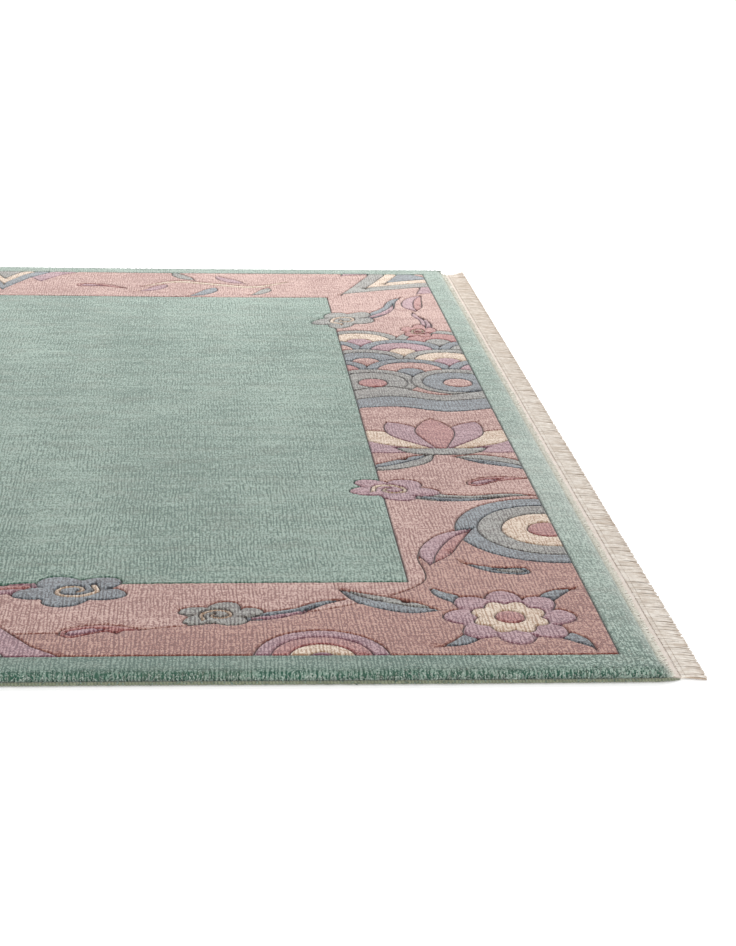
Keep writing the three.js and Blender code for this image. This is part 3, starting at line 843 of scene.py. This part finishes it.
# Painted shade: the near side's band is painted darker and with more contrast.
contrast = maths(tree, "MULTIPLY_ADD", band_shade, RIM_CONTRAST, given["Contrast"])
nap = maths(tree, "ADD", maths(tree, "MULTIPLY", grain, contrast), MEAN_NAP)
nap = weighed(tree, nap, (abrash, 0.28), (clouding, 0.18), (bands, 0.20))
nap = maths(tree, "MULTIPLY_ADD", band_shade, RIM_DARKER, nap)
nap = maths(tree, "ADD", nap, kept_at_vertices(tree, "tone"))
color = mixed(tree, spread(tree, nap, 0.05, 0.5), given["Shade"], given["Yarn"])
color = mixed(tree, spread(tree, nap, 0.5, 0.95), color, given["Tip"])

# Stray fibres
flecks = patches(tree, place, (210, 160, 1), 0.56, 0.74)
mottled = patches(tree, place, (14, 38, 1), 0.46, 0.68)
mottled = maths(tree, "MULTIPLY", maths(tree, "MULTIPLY", mottled, given["Contrast"]), MOTTLE_SHARE)
flecked = maths(tree, "MULTIPLY_ADD", flecks, FLECK_SHARE, mottled)
color = mixed(tree, maths(tree, "MINIMUM", flecked, 1.0), color, given["Fleck"])

# Ends painted towards the pale cream, and painted shade at the foot and in the grooves
later = spread(tree, y, *CORNER_Y)
from_end = maths(tree, "MULTIPLY_ADD", later, CORNER_LATER, from_end)
color = mixed(tree, spread(tree, from_end, *HAZED[:2], 0.0, HAZED[2]), color, END_FADE)
foot = spread(tree, maths(tree, "MULTIPLY_ADD", knots, FOOT_RAGGED, z), *FOOT_DARK[:2], 0.0, FOOT_DARK[2])
foot = maths(tree, "MULTIPLY", foot, spread(tree, from_end, *FOOT_FROM_END))
carved = maths(tree, "MULTIPLY_ADD", maths(tree, "SUBTRACT", knots, 0.5), GROOVE_RAGGED, carved)
hidden = maths(tree, "MAXIMUM", foot, spread(tree, carved, *GROOVE_DARK))
color = mixed(tree, hidden, color, mixed(tree, 1.0, given["Shade"], DEEP_TINT, "MULTIPLY"))
ragged = maths(tree, "MULTIPLY_ADD", maths(tree, "SUBTRACT", fibres, 0.5), FADE_RAGGED, from_end)
color = mixed(tree, spread(tree, ragged, *FADED), paled(tree, color, given["Shade"]), END_FADE)
tree.links.new(color, gives["Color"])
height = weighed(tree, 0.5, (streaks, 0.2), (dashes, 0.4), (knots, 0.5), (fibres, 0.3))
tree.links.new(maths(tree, "MULTIPLY_ADD", rows, 0.3, height), gives["Height"])


FIBRE_SHINE = 0.2
SHEEN_ROUGHNESS = 0.6


def finished(name, group, values, roughness=0.9, sheen=0.25, bump=0.6, depth=0.001):
    """A material from a group that gives Color and Height."""
    material = bpy.data.materials.new(name)
    material.use_nodes = True
    nodes, links = material.node_tree.nodes, material.node_tree.links
    shader = nodes["Principled BSDF"]
    finish = nodes.new("ShaderNodeGroup")
    finish.node_tree = group
    for label, value in values.items():
        finish.inputs[label].default_value = value
    relief = nodes.new("ShaderNodeBump")
    relief.inputs["Strength"].default_value = bump
    relief.inputs["Distance"].default_value = depth
    links.new(finish.outputs["Color"], shader.inputs["Base Color"])
    links.new(finish.outputs["Height"], relief.inputs["Height"])
    links.new(relief.outputs["Normal"], shader.inputs["Normal"])
    shader.inputs["Roughness"].default_value = roughness
    shader.inputs["Specular IOR Level"].default_value = FIBRE_SHINE
    shader.inputs["Sheen Weight"].default_value = sheen
    shader.inputs["Sheen Roughness"].default_value = SHEEN_ROUGHNESS
    return material


# Columns: the yarn in full light, between the knots, at the brushed tips, and stray fibres.
YARNS = {
    "green": (dyed(96, 119, 107), dyed(33, 72, 57), dyed(139, 158, 146), dyed(108, 105, 92)),
    "rose": (dyed(154, 115, 107), dyed(110, 62, 52), dyed(189, 158, 147), dyed(126, 74, 62)),
    "deep_rose": (dyed(140, 90, 79), dyed(100, 48, 39), dyed(175, 136, 121), dyed(111, 58, 46)),
    "brick": (dyed(146, 90, 87), dyed(106, 46, 46), dyed(176, 130, 123), dyed(110, 54, 52)),
    "mauve": (dyed(141, 105, 112), dyed(99, 59, 71), dyed(172, 141, 145), dyed(118, 69, 74)),
    "grey": (dyed(117, 114, 108), dyed(67, 61, 59), dyed(151, 151, 145), dyed(99, 80, 74)),
    "slate": (dyed(92, 97, 104), dyed(50, 52, 57), dyed(128, 136, 141), dyed(80, 69, 69)),
    "cream": (dyed(187, 168, 149), dyed(143, 113, 88), dyed(208, 193, 176), dyed(160, 120, 94)),
}
# How much the single knots differ from one another in shade.
KNOT_CONTRAST = 1.4
ROSE_CONTRAST = {"rose": 1.5, "deep_rose": 1.6}
wool = {}
for yarn, tones in YARNS.items():
    values = dict(zip(("Yarn", "Shade", "Tip", "Fleck"), tones))
    values["Contrast"] = ROSE_CONTRAST.get(yarn, KNOT_CONTRAST)
    wool[yarn] = finished(f"wool_{yarn}", knotted_wool, values)

top_points = np.column_stack([fine_points, fine_heights])
for yarn in YARNS:
    vertices, faces, used = closed_body(
        (top_points, fine_triangles[fine_yarns == yarn]),
        (coarse_points, coarse_triangles[coarse_yarns == yarn]), PILE_FOOT,
    )
    below = np.zeros(len(vertices) - len(used))
    mesh_piece(
        f"pile_{yarn}", lie(vertices), faces, "knotted_rug", f"wool_{yarn}", wool[yarn],
        carved=np.concatenate([pile_shade[used], below]),
        rim=np.concatenate([near_band_shade[used], below]),
        paler=paleness(vertices),
    )


# Cut edge of the pile
# Round the rug's rim the tufts stand free, splay outwards and shade one another at the foot. They
# are cut wool as the rest, in fine rows one above the other, the lowest hanging over the side binding.

TUFT_PITCH = 0.0025
TUFT_HALF_WIDTH = 0.0012
TUFT_AROUND = 3
# The tufts are painted lighter than the top by TUFT_LIGHTER, a painted light on their shaded sides, and
# darker along the sides by TUFT_RIM, a painted shade.
TUFT_LIGHTER = 0.34
TUFT_RIM = 0.25
END_ROWS = 3
SIDE_SHARE = 0.3
END_TUFT_SPLAY = 0.0030
END_TUFT_RISE = 0.0006
END_TUFT_LENGTH = 0.0016
# How far tufts of one row differ: along the rim, in splay, in drift, in height below and above, in tone.
TUFT_SHIFT = 0.0009
TUFT_SPLAY_VARIES = 0.0008
TUFT_DRIFT = 0.0020
TUFT_LOWER, TUFT_HIGHER = -0.0014, 0.0009
TUFT_TONE_VARIES = 0.13
# Columns: inset of the foot, height of the foot and the tip, how far the tip splays outwards, how much
# paler the wool is painted at the near side: a painted light and shade that darkens the lowest row and
# lightens the rows above it.
TUFT_ROWS = [
    (0.0002, 0.0060, 0.0030, 0.0056, -0.32),
    (0.0004, 0.0034, 0.0066, 0.0022, 0.09),
    (0.0010, 0.0050, 0.0090, 0.0015, 0.18),
    (0.0022, 0.0070, 0.0110, 0.0012, 0.16),
    (0.0038, 0.0085, 0.0123, 0.0010, 0.08),
    (0.0058, 0.0100, 0.0131, 0.0009, 0.0),
    (0.0084, 0.0112, 0.0135, 0.0008, -0.06),
]


def tubes(centres, wide, high, up, around=6, turn=0.0):
    """Closed tubes as vertices and faces.

    centres is (tubes, rings, 3). wide and high are half sizes across and over the way, and turn twists
    the section; each may differ by tube, ring and place around the ring.
    """
    way = np.gradient(centres, axis=1)
    way /= np.linalg.norm(way, axis=2, keepdims=True)
    across = np.cross(up, way)
    across /= np.linalg.norm(across, axis=2, keepdims=True)
    over = np.cross(way, across)
    angle = np.arange(around) / around * 2 * math.pi
    flat, tall = wide * np.cos(angle), high * np.sin(angle)
    out = flat * np.cos(turn) - tall * np.sin(turn)
    lift = flat * np.sin(turn) + tall * np.cos(turn)
    rings = (
        centres[:, :, None] + across[:, :, None] * out[..., None] + over[:, :, None] * lift[..., None]
    )
    return skin(rings)


def skin(rings):
    """Vertices and faces of closed tubes through rings of points, (tubes, rings, around, 3)."""
    number = np.arange(rings[..., 0].size).reshape(rings.shape[:3])
    here, there = number[:, :-1], number[:, 1:]
    sides = np.stack([here, np.roll(here, -1, axis=2), np.roll(there, -1, axis=2), there], axis=-1)
    faces = sides.reshape(-1, 4).tolist() + number[:, 0, ::-1].tolist() + number[:, -1].tolist()
    return rings.reshape(-1, 3), faces


def joined(bodies):
    """Several bodies, each vertices and faces, as one."""
    faces, first = [], 0
    for vertices, own_faces in bodies:
        faces += [[v + first for v in face] for face in own_faces]
        first += len(vertices)
    return np.vstack([vertices for vertices, _ in bodies]), faces


def evenly(line, count, ends=False):
    """Points and unit directions at even distances along a line."""
    lengths = np.concatenate([[0], np.cumsum(np.linalg.norm(np.diff(line, axis=0), axis=1))])
    at = np.linspace(0, lengths[-1], count, endpoint=ends)
    spots = np.stack([np.interp(at, lengths, line[:, axis]) for axis in (0, 1)], axis=1)
    ahead_of = np.stack([np.interp(at + 1e-4, lengths, line[:, axis]) for axis in (0, 1)], axis=1)
    behind = np.stack([np.interp(at - 1e-4, lengths, line[:, axis]) for axis in (0, 1)], axis=1)
    along = ahead_of - behind
    return spots, along / np.linalg.norm(along, axis=1, keepdims=True)


tuft_rows, tuft_tones, tuft_rims, tuft_paler = [], [], [], []
rim_closed = np.vstack([rim, rim[:1]])
all_round = int(np.linalg.norm(np.diff(rim_closed, axis=0), axis=1).sum() / TUFT_PITCH)
shares = np.array([0.0, 1.0])
for row, (inset, foot, top, splay, near_paler) in enumerate(TUFT_ROWS):
    spots, along = evenly(rim_closed, all_round)
    outwards = np.stack([along[:, 1], -along[:, 0]], axis=1)
    grown = (row < END_ROWS) | (np.abs(outwards[:, 1]) > SIDE_SHARE)
    spots, along, outwards = spots[grown], along[grown], outwards[grown]
    count = len(spots)
    spots = spots + along * rng.uniform(-TUFT_SHIFT, TUFT_SHIFT, (count, 1)) - outwards * inset
    at_side = np.abs(outwards[:, 1])[:, None, None]
    at_end = 1 - at_side
    lean = rng.normal(splay, TUFT_SPLAY_VARIES, (count, 1, 1)) + END_TUFT_SPLAY * at_end
    lean = lean * outwards[:, None]
    drift = rng.normal(0, TUFT_DRIFT, (count, 1, 1)) * along[:, None]
    centres = np.zeros((count, 2, 3))
    centres[..., :2] = spots[:, None] + (lean + drift) * shares[:, None]
    slope_top = THICKNESS - END_DROP * np.clip(1 - (inset - END_TUFT_SPLAY) / END_SLOPE, 0, 1) ** 2
    tip = top * at_side[..., 0] + (slope_top + END_TUFT_RISE) * at_end[..., 0]
    tip = tip + rng.uniform(TUFT_LOWER, TUFT_HIGHER, (count, 1)) * at_side[..., 0]
    foot = foot * at_side[..., 0] + (tip - END_TUFT_LENGTH) * at_end[..., 0]
    centres[..., 2] = np.minimum(foot, tip) * (1 - shares) + tip * shares
    width = TUFT_HALF_WIDTH * rng.uniform(0.8, 1.15, (count, 1, 1)) * np.array([1.0, 0.75])[:, None]
    up = np.concatenate([outwards, np.zeros((count, 1))], axis=1)[:, None]
    turn = rng.uniform(0, 2, (count, 1, 1))
    tuft_rows.append(tubes(centres, width, 0.75 * width, up, TUFT_AROUND, turn))
    tuft_tones.append(rng.normal(TUFT_LIGHTER, TUFT_TONE_VARIES, count))
    tuft_rims.append(TUFT_RIM * at_side.ravel() ** 2)
    tuft_paler.append(np.where(spots[:, 1] < -BAND_Y, near_paler, paleness(spots)))
vertices, faces = joined(tuft_rows)
tone, rim_share, paler = (
    np.repeat(np.concatenate(values), 2 * TUFT_AROUND) for values in (tuft_tones, tuft_rims, tuft_paler)
)
mesh_piece(
    "cut_edge_tufts", lie(vertices), faces, "knotted_rug", "wool_green", wool["green"],
    tone=tone, rim=rim_share, paler=paler,
)


# Foundation and back of the knots
# Cotton warps and wefts hold the knots. From below, each knot shows as a small bead of its yarn, so
# the drawing can be read from the back too.

FOUNDATION_TOP = 0.0028
FOUNDATION_INSET = 0.0008
COTTON = dyed(205, 196, 178)

knot_backs, given, gives = new_group(
    "knot backs", [("Cotton", "Color")], [("Color", "Color"), ("Height", "Float")],
)
tree = knot_backs
place = add(tree, "TexCoord", output=3)
x, y = (add(tree, "SeparateXYZ", [place], output=number) for number in range(2))
beads = maths(
    tree, "MULTIPLY",
    maths(tree, "ABSOLUTE", maths(tree, "SINE", maths(tree, "MULTIPLY", x, math.pi / ROW_PITCH))),
    maths(tree, "ABSOLUTE", maths(tree, "SINE", maths(tree, "MULTIPLY", y, 2 * math.pi / ROW_PITCH))),
)
yarn_color = add(tree, "Attribute", output=0, attribute_name="yarn_color")
beaded = mixed(tree, spread(tree, beads, 0.02, 0.35), given["Cotton"], yarn_color)
fibres = patches(tree, place, (400, 400, 400))
uneven = maths(tree, "ADD", maths(tree, "MULTIPLY", fibres, 0.3), 0.7)
uneven = add(tree, "CombineColor", (uneven, uneven, uneven))
tree.links.new(mixed(tree, 1.0, beaded, uneven, "MULTIPLY"), gives["Color"])
tree.links.new(beads, gives["Height"])

foundation_points = np.column_stack([coarse_points, np.full(len(coarse_points), FOUNDATION_TOP)])
vertices, faces, _ = closed_body(
    (foundation_points, coarse_triangles), (coarse_points, coarse_triangles), 0.0,
)
vertices[:, 0] *= 1 - FOUNDATION_INSET / HALF_LENGTH
vertices[:, 1] *= 1 - FOUNDATION_INSET / HALF_WIDTH
foundation = mesh_piece(
    "foundation", lie(vertices), faces, "knotted_rug", "cotton_fringe",
    finished("knot_backs", knot_backs, {"Cotton": COTTON}),
)
face_colors = [YARNS[yarn][0] for yarn in np.tile(coarse_yarns, 2)]
face_colors += [COTTON] * (len(faces) - len(face_colors))
colors = foundation.data.attributes.new("yarn_color", "FLOAT_COLOR", "CORNER")
for face, color in zip(foundation.data.polygons, face_colors):
    for corner in face.loop_indices:
        colors.data[corner].color = color


# Overcast sides
# A thick olive yarn is wrapped round the edge warps from corner to corner, each turn beside the last.
# It is spun like the cotton of the ends, so all of them share the look of spun yarn.

CORD_HEIGHT = 0.0045
CORD_OFF_FLOOR = 0.0001
WRAP_PITCH = 0.0036
WRAP_ROUNDING = 0.17
WRAP_FULLNESS = 0.95
WRAP_LEAN = 0.5
RINGS_A_WRAP = 4.2
CORD_AROUND = 8
END_THINNESS = 0.37
# Columns: share of the thickness, how it goes on from one turn to the next.
WRAPS_VARY = [(0.05, 0.37), (0.04, 1.13)]
# Where the pile's dye has run into the cotton beside it.
BLED_GREEN = dyed(134, 152, 137)

spun_yarn, given, gives = new_group(
    "spun yarn",
    [("Yarn", "Color"), ("Shade", "Color"), ("Tip", "Color"), ("Fineness", "Float")],
    [("Color", "Color"), ("Height", "Float")],
)
tree = spun_yarn
place = add(tree, "TexCoord", output=3)
place = add(tree, "VectorMath", {0: place, 3: given["Fineness"]}, operation="SCALE")
fibres = patches(tree, place, (1.0, 1.0, 1.0), 0.3, 0.7, 3.0)
thick_and_thin = patches(tree, place, (0.12, 0.12, 0.12))
valley = kept_at_vertices(tree, "valley")
soiled = kept_at_vertices(tree, "soiled")
bled = kept_at_vertices(tree, "bled")
color = mixed(tree, maths(tree, "MULTIPLY", fibres, 0.5), given["Yarn"], given["Tip"])
color = mixed(tree, maths(tree, "MULTIPLY", thick_and_thin, 0.35), color, given["Shade"])
# Painted shade in the valleys between turns and under the upper strands, together with the strands' own
# dirt, draws the colour towards the Shade colour.
hidden = maths(tree, "ADD", maths(tree, "MULTIPLY", valley, 0.85), maths(tree, "MULTIPLY", soiled, 0.8))
color = mixed(tree, maths(tree, "MINIMUM", hidden, 1.0), color, given["Shade"])
bled = maths(tree, "MULTIPLY", bled, maths(tree, "MULTIPLY_ADD", fibres, 0.2, 0.9))
color = mixed(tree, maths(tree, "MINIMUM", bled, 1.0), paled(tree, color, given["Shade"]), BLED_GREEN)
tree.links.new(color, gives["Color"])
tree.links.new(fibres, gives["Height"])

binding_yarn = finished("binding_yarn", spun_yarn, {
    "Yarn": dyed(113, 119, 99), "Shade": dyed(62, 68, 50), "Tip": dyed(152, 154, 129), "Fineness": 900.0,
}, bump=0.4, depth=0.0004)

line = side_line(0, 0.0005, CORD_END)
length = np.linalg.norm(np.diff(line, axis=0), axis=1).sum()
count = int(length / WRAP_PITCH * RINGS_A_WRAP)
spots, _ = evenly(line, count, ends=True)
ring_angle = np.arange(CORD_AROUND) / CORD_AROUND * 2 * math.pi
phase = np.linspace(0, length / WRAP_PITCH * math.pi, count)[:, None] + WRAP_LEAN * np.cos(ring_angle)
fullness = np.abs(np.sin(phase))
uneven_wraps = 1 + sum(part * np.sin(phase[:, :1] * pace) for part, pace in WRAPS_VARY)
thins_out = np.interp(CORD_END - np.abs(spots[:, :1]), (0, CORD_RUNS_ON), (END_THINNESS, 1))
size = (1 - WRAP_ROUNDING * (1 - fullness)) * uneven_wraps * WRAP_FULLNESS * thins_out
centres = np.zeros((1, count, 3))
centres[0, :, :2] = spots
centres[0, :, 1] += CORD_WIDTH / 2 * thins_out[:, 0]
centres[0, :, 2] = (CORD_HEIGHT / 2 + CORD_OFF_FLOOR) * thins_out[:, 0]


def lying(points, turn_round):
    """Points of one side or end where the lying rug has them; -1 gives the opposite side or end."""
    return lie(points * (turn_round, turn_round, 1))


for side, turn_round in (("near", 1), ("far", -1)):
    vertices, faces = tubes(
        lying(centres[0], turn_round)[None], size[None] * CORD_WIDTH / 2, size[None] * CORD_HEIGHT / 2,
        (0, 0, 1), CORD_AROUND,
    )
    # The valleys between the turns are painted darker: a painted shade.
    mesh_piece(
        f"overcast_yarn_{side}", vertices, faces, f"side_binding_{side}", "binding_wool", binding_yarn,
        valley=(1 - fullness) ** 1.5,
    )


# Flat-woven ends
# Past the last row of knots the weaver beats a few plain cotton wefts together into a narrow web that
# keeps the knots from slipping. It is smooth and lies much lower than the pile.

WEB_THICKNESS = 0.0030
WEB_HALF_WIDTH = 0.9912
WEB_EDGES_DROP = 0.25
WARP_PITCH = 0.0034
WARP_RIPPLE = 0.00012
WEFT_RIPPLE = 0.00008
WEFTS = 4.5
PROFILE_POINTS = 10
# Columns: place from the near to the far side, how much paler the cotton is painted there; it is painted
# darker towards the far side, a painted shade that evens out the brighter light there.
COTTON_PALER = [(-0.95, 0.04), (-0.5, 0.0), (0.0, -0.03), (0.4, -0.16), (0.95, -0.26)]
# The pile's dye has run into the web: how much at the pile, how far, and how fast it thins out.
BLED_SHARE = 0.62
BLED_REACH = 0.0085
BLED_FALL = 1.3

cotton = {
    "Yarn": dyed(190, 178, 168), "Shade": dyed(155, 137, 119), "Tip": dyed(203, 193, 183),
    "Fineness": 1100.0,
}
web_cotton = finished("web_cotton", spun_yarn, cotton, bump=0.25, depth=0.0003)
count = int(2 * WEB_HALF_WIDTH / WARP_PITCH) * 2 + 1
profile = np.linspace(0, 1, PROFILE_POINTS)
warps = np.where(np.arange(count) % 2, WARP_RIPPLE, -WARP_RIPPLE)[:, None]
wefts = WEFT_RIPPLE * np.cos(profile * 2 * WEFTS * math.pi)
top = WEB_THICKNESS * (1 - WEB_EDGES_DROP * np.abs(2 * profile - 1) ** 6) + warps + wefts
rings = np.zeros((1, count, PROFILE_POINTS + 2, 3))
rings[0, :, :, 0] = HALF_LENGTH + TOUCH_GAP + np.append(profile, (1, 0)) * WEB_LENGTH
rings[0, :, :, 1] = np.linspace(-WEB_HALF_WIDTH, WEB_HALF_WIDTH, count)[:, None]
rings[0, :, :PROFILE_POINTS, 2] = top
web_vertices, web_faces = skin(rings)
from_pile = web_vertices[:, 0] - HALF_LENGTH
web_bled = BLED_SHARE * np.clip(1 - from_pile / BLED_REACH, 0, 1) ** BLED_FALL
# The parts of one end: name, vertices, faces, material and what its vertices keep for it.
end_parts = [("web", web_vertices, web_faces, web_cotton, {"bled": web_bled})]


# Twined lines
# A brown thread twined round the warps locks the web at its outer edge, and a paler one repeats it a
# little further out. Both are plain cotton thread.

# Columns: name, distance from the pile, height, half width, yarn.
TWINED = [
    ("brown", 0.0150, 0.0028, 0.00065, (dyed(138, 108, 86), dyed(88, 62, 46), dyed(160, 132, 108))),
    ("pale", 0.0205, 0.0031, 0.00045, (dyed(176, 154, 132), dyed(120, 94, 72), dyed(196, 178, 160))),
]
TWIST_PITCH = 0.0034
TWIST_STEP = 0.0014
THREAD_WANDER = 0.0002
THREAD_FINENESS = 1500.0

count = int(2 * WEB_HALF_WIDTH / TWIST_STEP)
for name, from_pile, height, half_width, tones in TWINED:
    centres = np.zeros((1, count, 3))
    centres[0, :, 0] = HALF_LENGTH + from_pile + THREAD_WANDER * np.sin(np.linspace(0, 60, count))
    centres[0, :, 1] = np.linspace(-WEB_HALF_WIDTH, WEB_HALF_WIDTH, count)
    centres[0, :, 2] = height
    turn = np.linspace(0, 2 * WEB_HALF_WIDTH / TWIST_PITCH * math.pi, count)[None, :, None]
    vertices, faces = tubes(centres, half_width, 0.6 * half_width, (0, 0, 1), 5, turn)
    values = dict(zip(("Yarn", "Shade", "Tip"), tones)) | {"Fineness": THREAD_FINENESS}
    thread = finished(f"twined_{name}", spun_yarn, values)
    end_parts.append((f"twined_{name}", vertices, faces, thread, {}))


# Fringe
# The warp ends, cut to about the same length. They lie on the floor side by side, drawn together in
# small groups, and their tips are worn tan.

STRAND_LENGTHENS = 0.0030
STRAND_LEAN = 0.004
CORNER_SPLAY = 0.040
CORNER_SPLAY_RUN = 0.08
STRAND_HALF_HEIGHT = 0.0009
STRAND_AROUND = 6
STRAND_RINGS = 8
ROOT_ZONE = 0.2
ROOTS_FROM_EDGE = 0.0015
ROOTS_UNDER_WEB = 0.0002
# Neighbours lie drawn together: the chance that a strand starts a new group, and the pull inside one.
NEW_GROUP = 0.34
PULL = 0.25
# How much strands differ: place, the group's middle, length, waves, lean, lift, soil.
ROOT_VARIES = 0.0003
GROUP_VARIES = 0.0010
LENGTH_VARIES = 0.0003
WAVE = 0.0004
LEAN_VARIES = 0.12
LIFT = 0.0006
SOIL_VARIES = 0.25
TIP_SOIL = 0.4
# Columns: place from the root to the tip, thickness there.
STRAND_TAPER = [(0, 1.0), (0.25, 1.0), (0.8, 0.8), (1, 0.6)]
STRAND_SAG = [(0, 1), (0.7, 1), (1, 0.75)]
# Columns: strands to an end, height over the floor, mean length, how dark the strands are painted (for
# the lower layer a painted shade under the upper one), half width.
STRAND_LAYERS = [(540, 0.0011, 0.0319, 0.75, 0.0014), (560, 0.0023, 0.0327, 0.03, 0.00125)]

strand_cotton = finished("strand_cotton", spun_yarn, cotton | {
    "Yarn": dyed(217, 209, 199), "Shade": dyed(146, 120, 92), "Tip": dyed(232, 227, 220),
}, bump=0.4, depth=0.0003)

half_spread = WEB_HALF_WIDTH - ROOTS_FROM_EDGE
share = np.linspace(0, 1, STRAND_RINGS)
loose = np.clip((share - ROOT_ZONE) / (1 - ROOT_ZONE), 0, 1)
strand_bodies, strand_soil_and_shade = [], []
for strands, height, mean_length, layer_darkness, half_width in STRAND_LAYERS:
    roots = np.linspace(-half_spread, half_spread, strands) + rng.normal(0, ROOT_VARIES, strands)
    groups = np.cumsum(rng.random(strands) < NEW_GROUP)
    middles_of = np.array([roots[groups == group].mean() for group in range(groups[-1] + 1)])
    drawn_to = middles_of[groups] + rng.normal(0, GROUP_VARIES, groups[-1] + 1)[groups]
    length = mean_length + rng.normal(0, LENGTH_VARIES, strands) + STRAND_LENGTHENS * roots
    waves = rng.normal(0, WAVE, (strands, 1)) * np.sin(loose * rng.uniform(3, 8, (strands, 1)))
    centres = np.zeros((strands, STRAND_RINGS, 3))
    centres[..., 0] = HALF_LENGTH + WEB_LENGTH - ROOTS_UNDER_WEB + length[:, None] * share
    centres[..., 1] = roots[:, None] + (PULL * (drawn_to - roots))[:, None] * loose ** 1.3 + waves
    splay = CORNER_SPLAY * np.clip(1 - (half_spread - roots) / CORNER_SPLAY_RUN, 0, 1) ** 2
    lean = STRAND_LEAN * rng.normal(1, LEAN_VARIES, (strands, 1))
    centres[..., 1] += (splay[:, None] - lean) * loose
    lift = rng.uniform(0, LIFT, (strands, 1)) * np.sin(math.pi * share ** 0.8)
    centres[..., 2] = height * np.interp(share, *zip(*STRAND_SAG)) + lift
    taper = np.interp(share, *zip(*STRAND_TAPER))[:, None]
    plump = rng.uniform(0.85, 1.15, (strands, 1, 1))
    turn = (rng.uniform(-0.3, 0.3, (strands, 1)) + 0 * share)[..., None]
    strand_bodies.append(tubes(
        centres, half_width * taper * plump, STRAND_HALF_HEIGHT * taper * plump, (0, 0, 1),
        STRAND_AROUND, turn,
    ))
    # Each strand is darkened by its own dirt and its tan tip, and the lower layer also by a painted shade
    # under the upper strands.
    soiled = np.clip(rng.normal(layer_darkness, SOIL_VARIES, (strands, 1)) + TIP_SOIL * loose ** 6, 0, 1)
    soiled = soiled * np.minimum(1, share * 3)
    strand_soil_and_shade.append(np.repeat(soiled.ravel(), STRAND_AROUND))
end_parts.append((
    "fringe_strands", *joined(strand_bodies), strand_cotton, {"soiled": np.concatenate(strand_soil_and_shade)},
))

for side, turn_round in (("right", 1), ("left", -1)):
    for name, vertices, faces, material, marks in end_parts:
        if not name.startswith("twined"):
            paler = np.interp(turn_round * vertices[:, 1], *zip(*COTTON_PALER))
            marks = marks | {"paler": paler}
        mesh_piece(
            f"{name}_{side}", lying(vertices, turn_round), faces, f"fringe_end_{side}",
            "cotton_fringe", material, **marks,
        )


# Floor and light
# A plain white studio floor, round, that glows faintly and so keeps its shadows pale. A large soft
# light stands behind the far side of the rug, to the right, so the far side is brighter; a weaker one
# in front and the white room fill the shadows.

FLOOR_RADIUS = 3.4
FLOOR_BELOW = 0.0002
FLOOR_CORNERS = 96
FLOOR_GLOW = 0.10
ROOM_LIGHT = 0.80
ROOM_SEEN_BRIGHTER = 0.4

floor_mesh = bpy.data.meshes.new("floor")
floor_rim = [
    (FLOOR_RADIUS * math.cos(angle), FLOOR_RADIUS * math.sin(angle), -FLOOR_BELOW)
    for angle in np.arange(FLOOR_CORNERS) / FLOOR_CORNERS * 2 * math.pi
]
floor_mesh.from_pydata(floor_rim, [], [range(len(floor_rim))])
floor = bpy.data.objects.new("floor", floor_mesh)
bpy.context.collection.objects.link(floor)
paint = bpy.data.materials.new("floor_paint")
paint.use_nodes = True
coat = paint.node_tree.nodes["Principled BSDF"].inputs
coat["Base Color"].default_value = (0.93, 0.93, 0.93, 1)
coat["Roughness"].default_value = 0.8
coat["Emission Color"].default_value = (1, 1, 1, 1)
coat["Emission Strength"].default_value = FLOOR_GLOW
floor_mesh.materials.append(paint)
floor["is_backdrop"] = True

world = bpy.data.worlds.new("studio")
bpy.context.scene.world = world
world.use_nodes = True
sky = world.node_tree
sky.nodes["Background"].inputs["Color"].default_value = (1, 1, 1, 1)
seen = add(sky, "LightPath", output=0)
brightness = maths(sky, "MULTIPLY_ADD", seen, ROOM_SEEN_BRIGHTER, ROOM_LIGHT)
sky.links.new(brightness, sky.nodes["Background"].inputs["Strength"])

# Columns: name, place, what it looks at, width and height, watts.
for name, at, target, width, height, watts in (
    ("key_light", (1.8, 2.9, 2.0), (0.9, 0.5, 0), 3.6, 1.8, 165),
    ("fill_light", (0.8, -3.6, 0.9), (0.8, -1.0, 0), 4.0, 1.2, 60),
):
    lamp = bpy.data.lights.new(name, "AREA")
    lamp.shape = "RECTANGLE"
    lamp.size, lamp.size_y, lamp.energy = width, height, watts
    light = bpy.data.objects.new(name, lamp)
    light.location = at
    light.rotation_euler = (Vector(target) - Vector(at)).to_track_quat("-Z", "Y").to_euler()
    bpy.context.collection.objects.link(light)

bpy.context.scene.view_settings.view_transform = "Standard"
bpy.context.scene.view_settings.look = "None"

low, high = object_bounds()
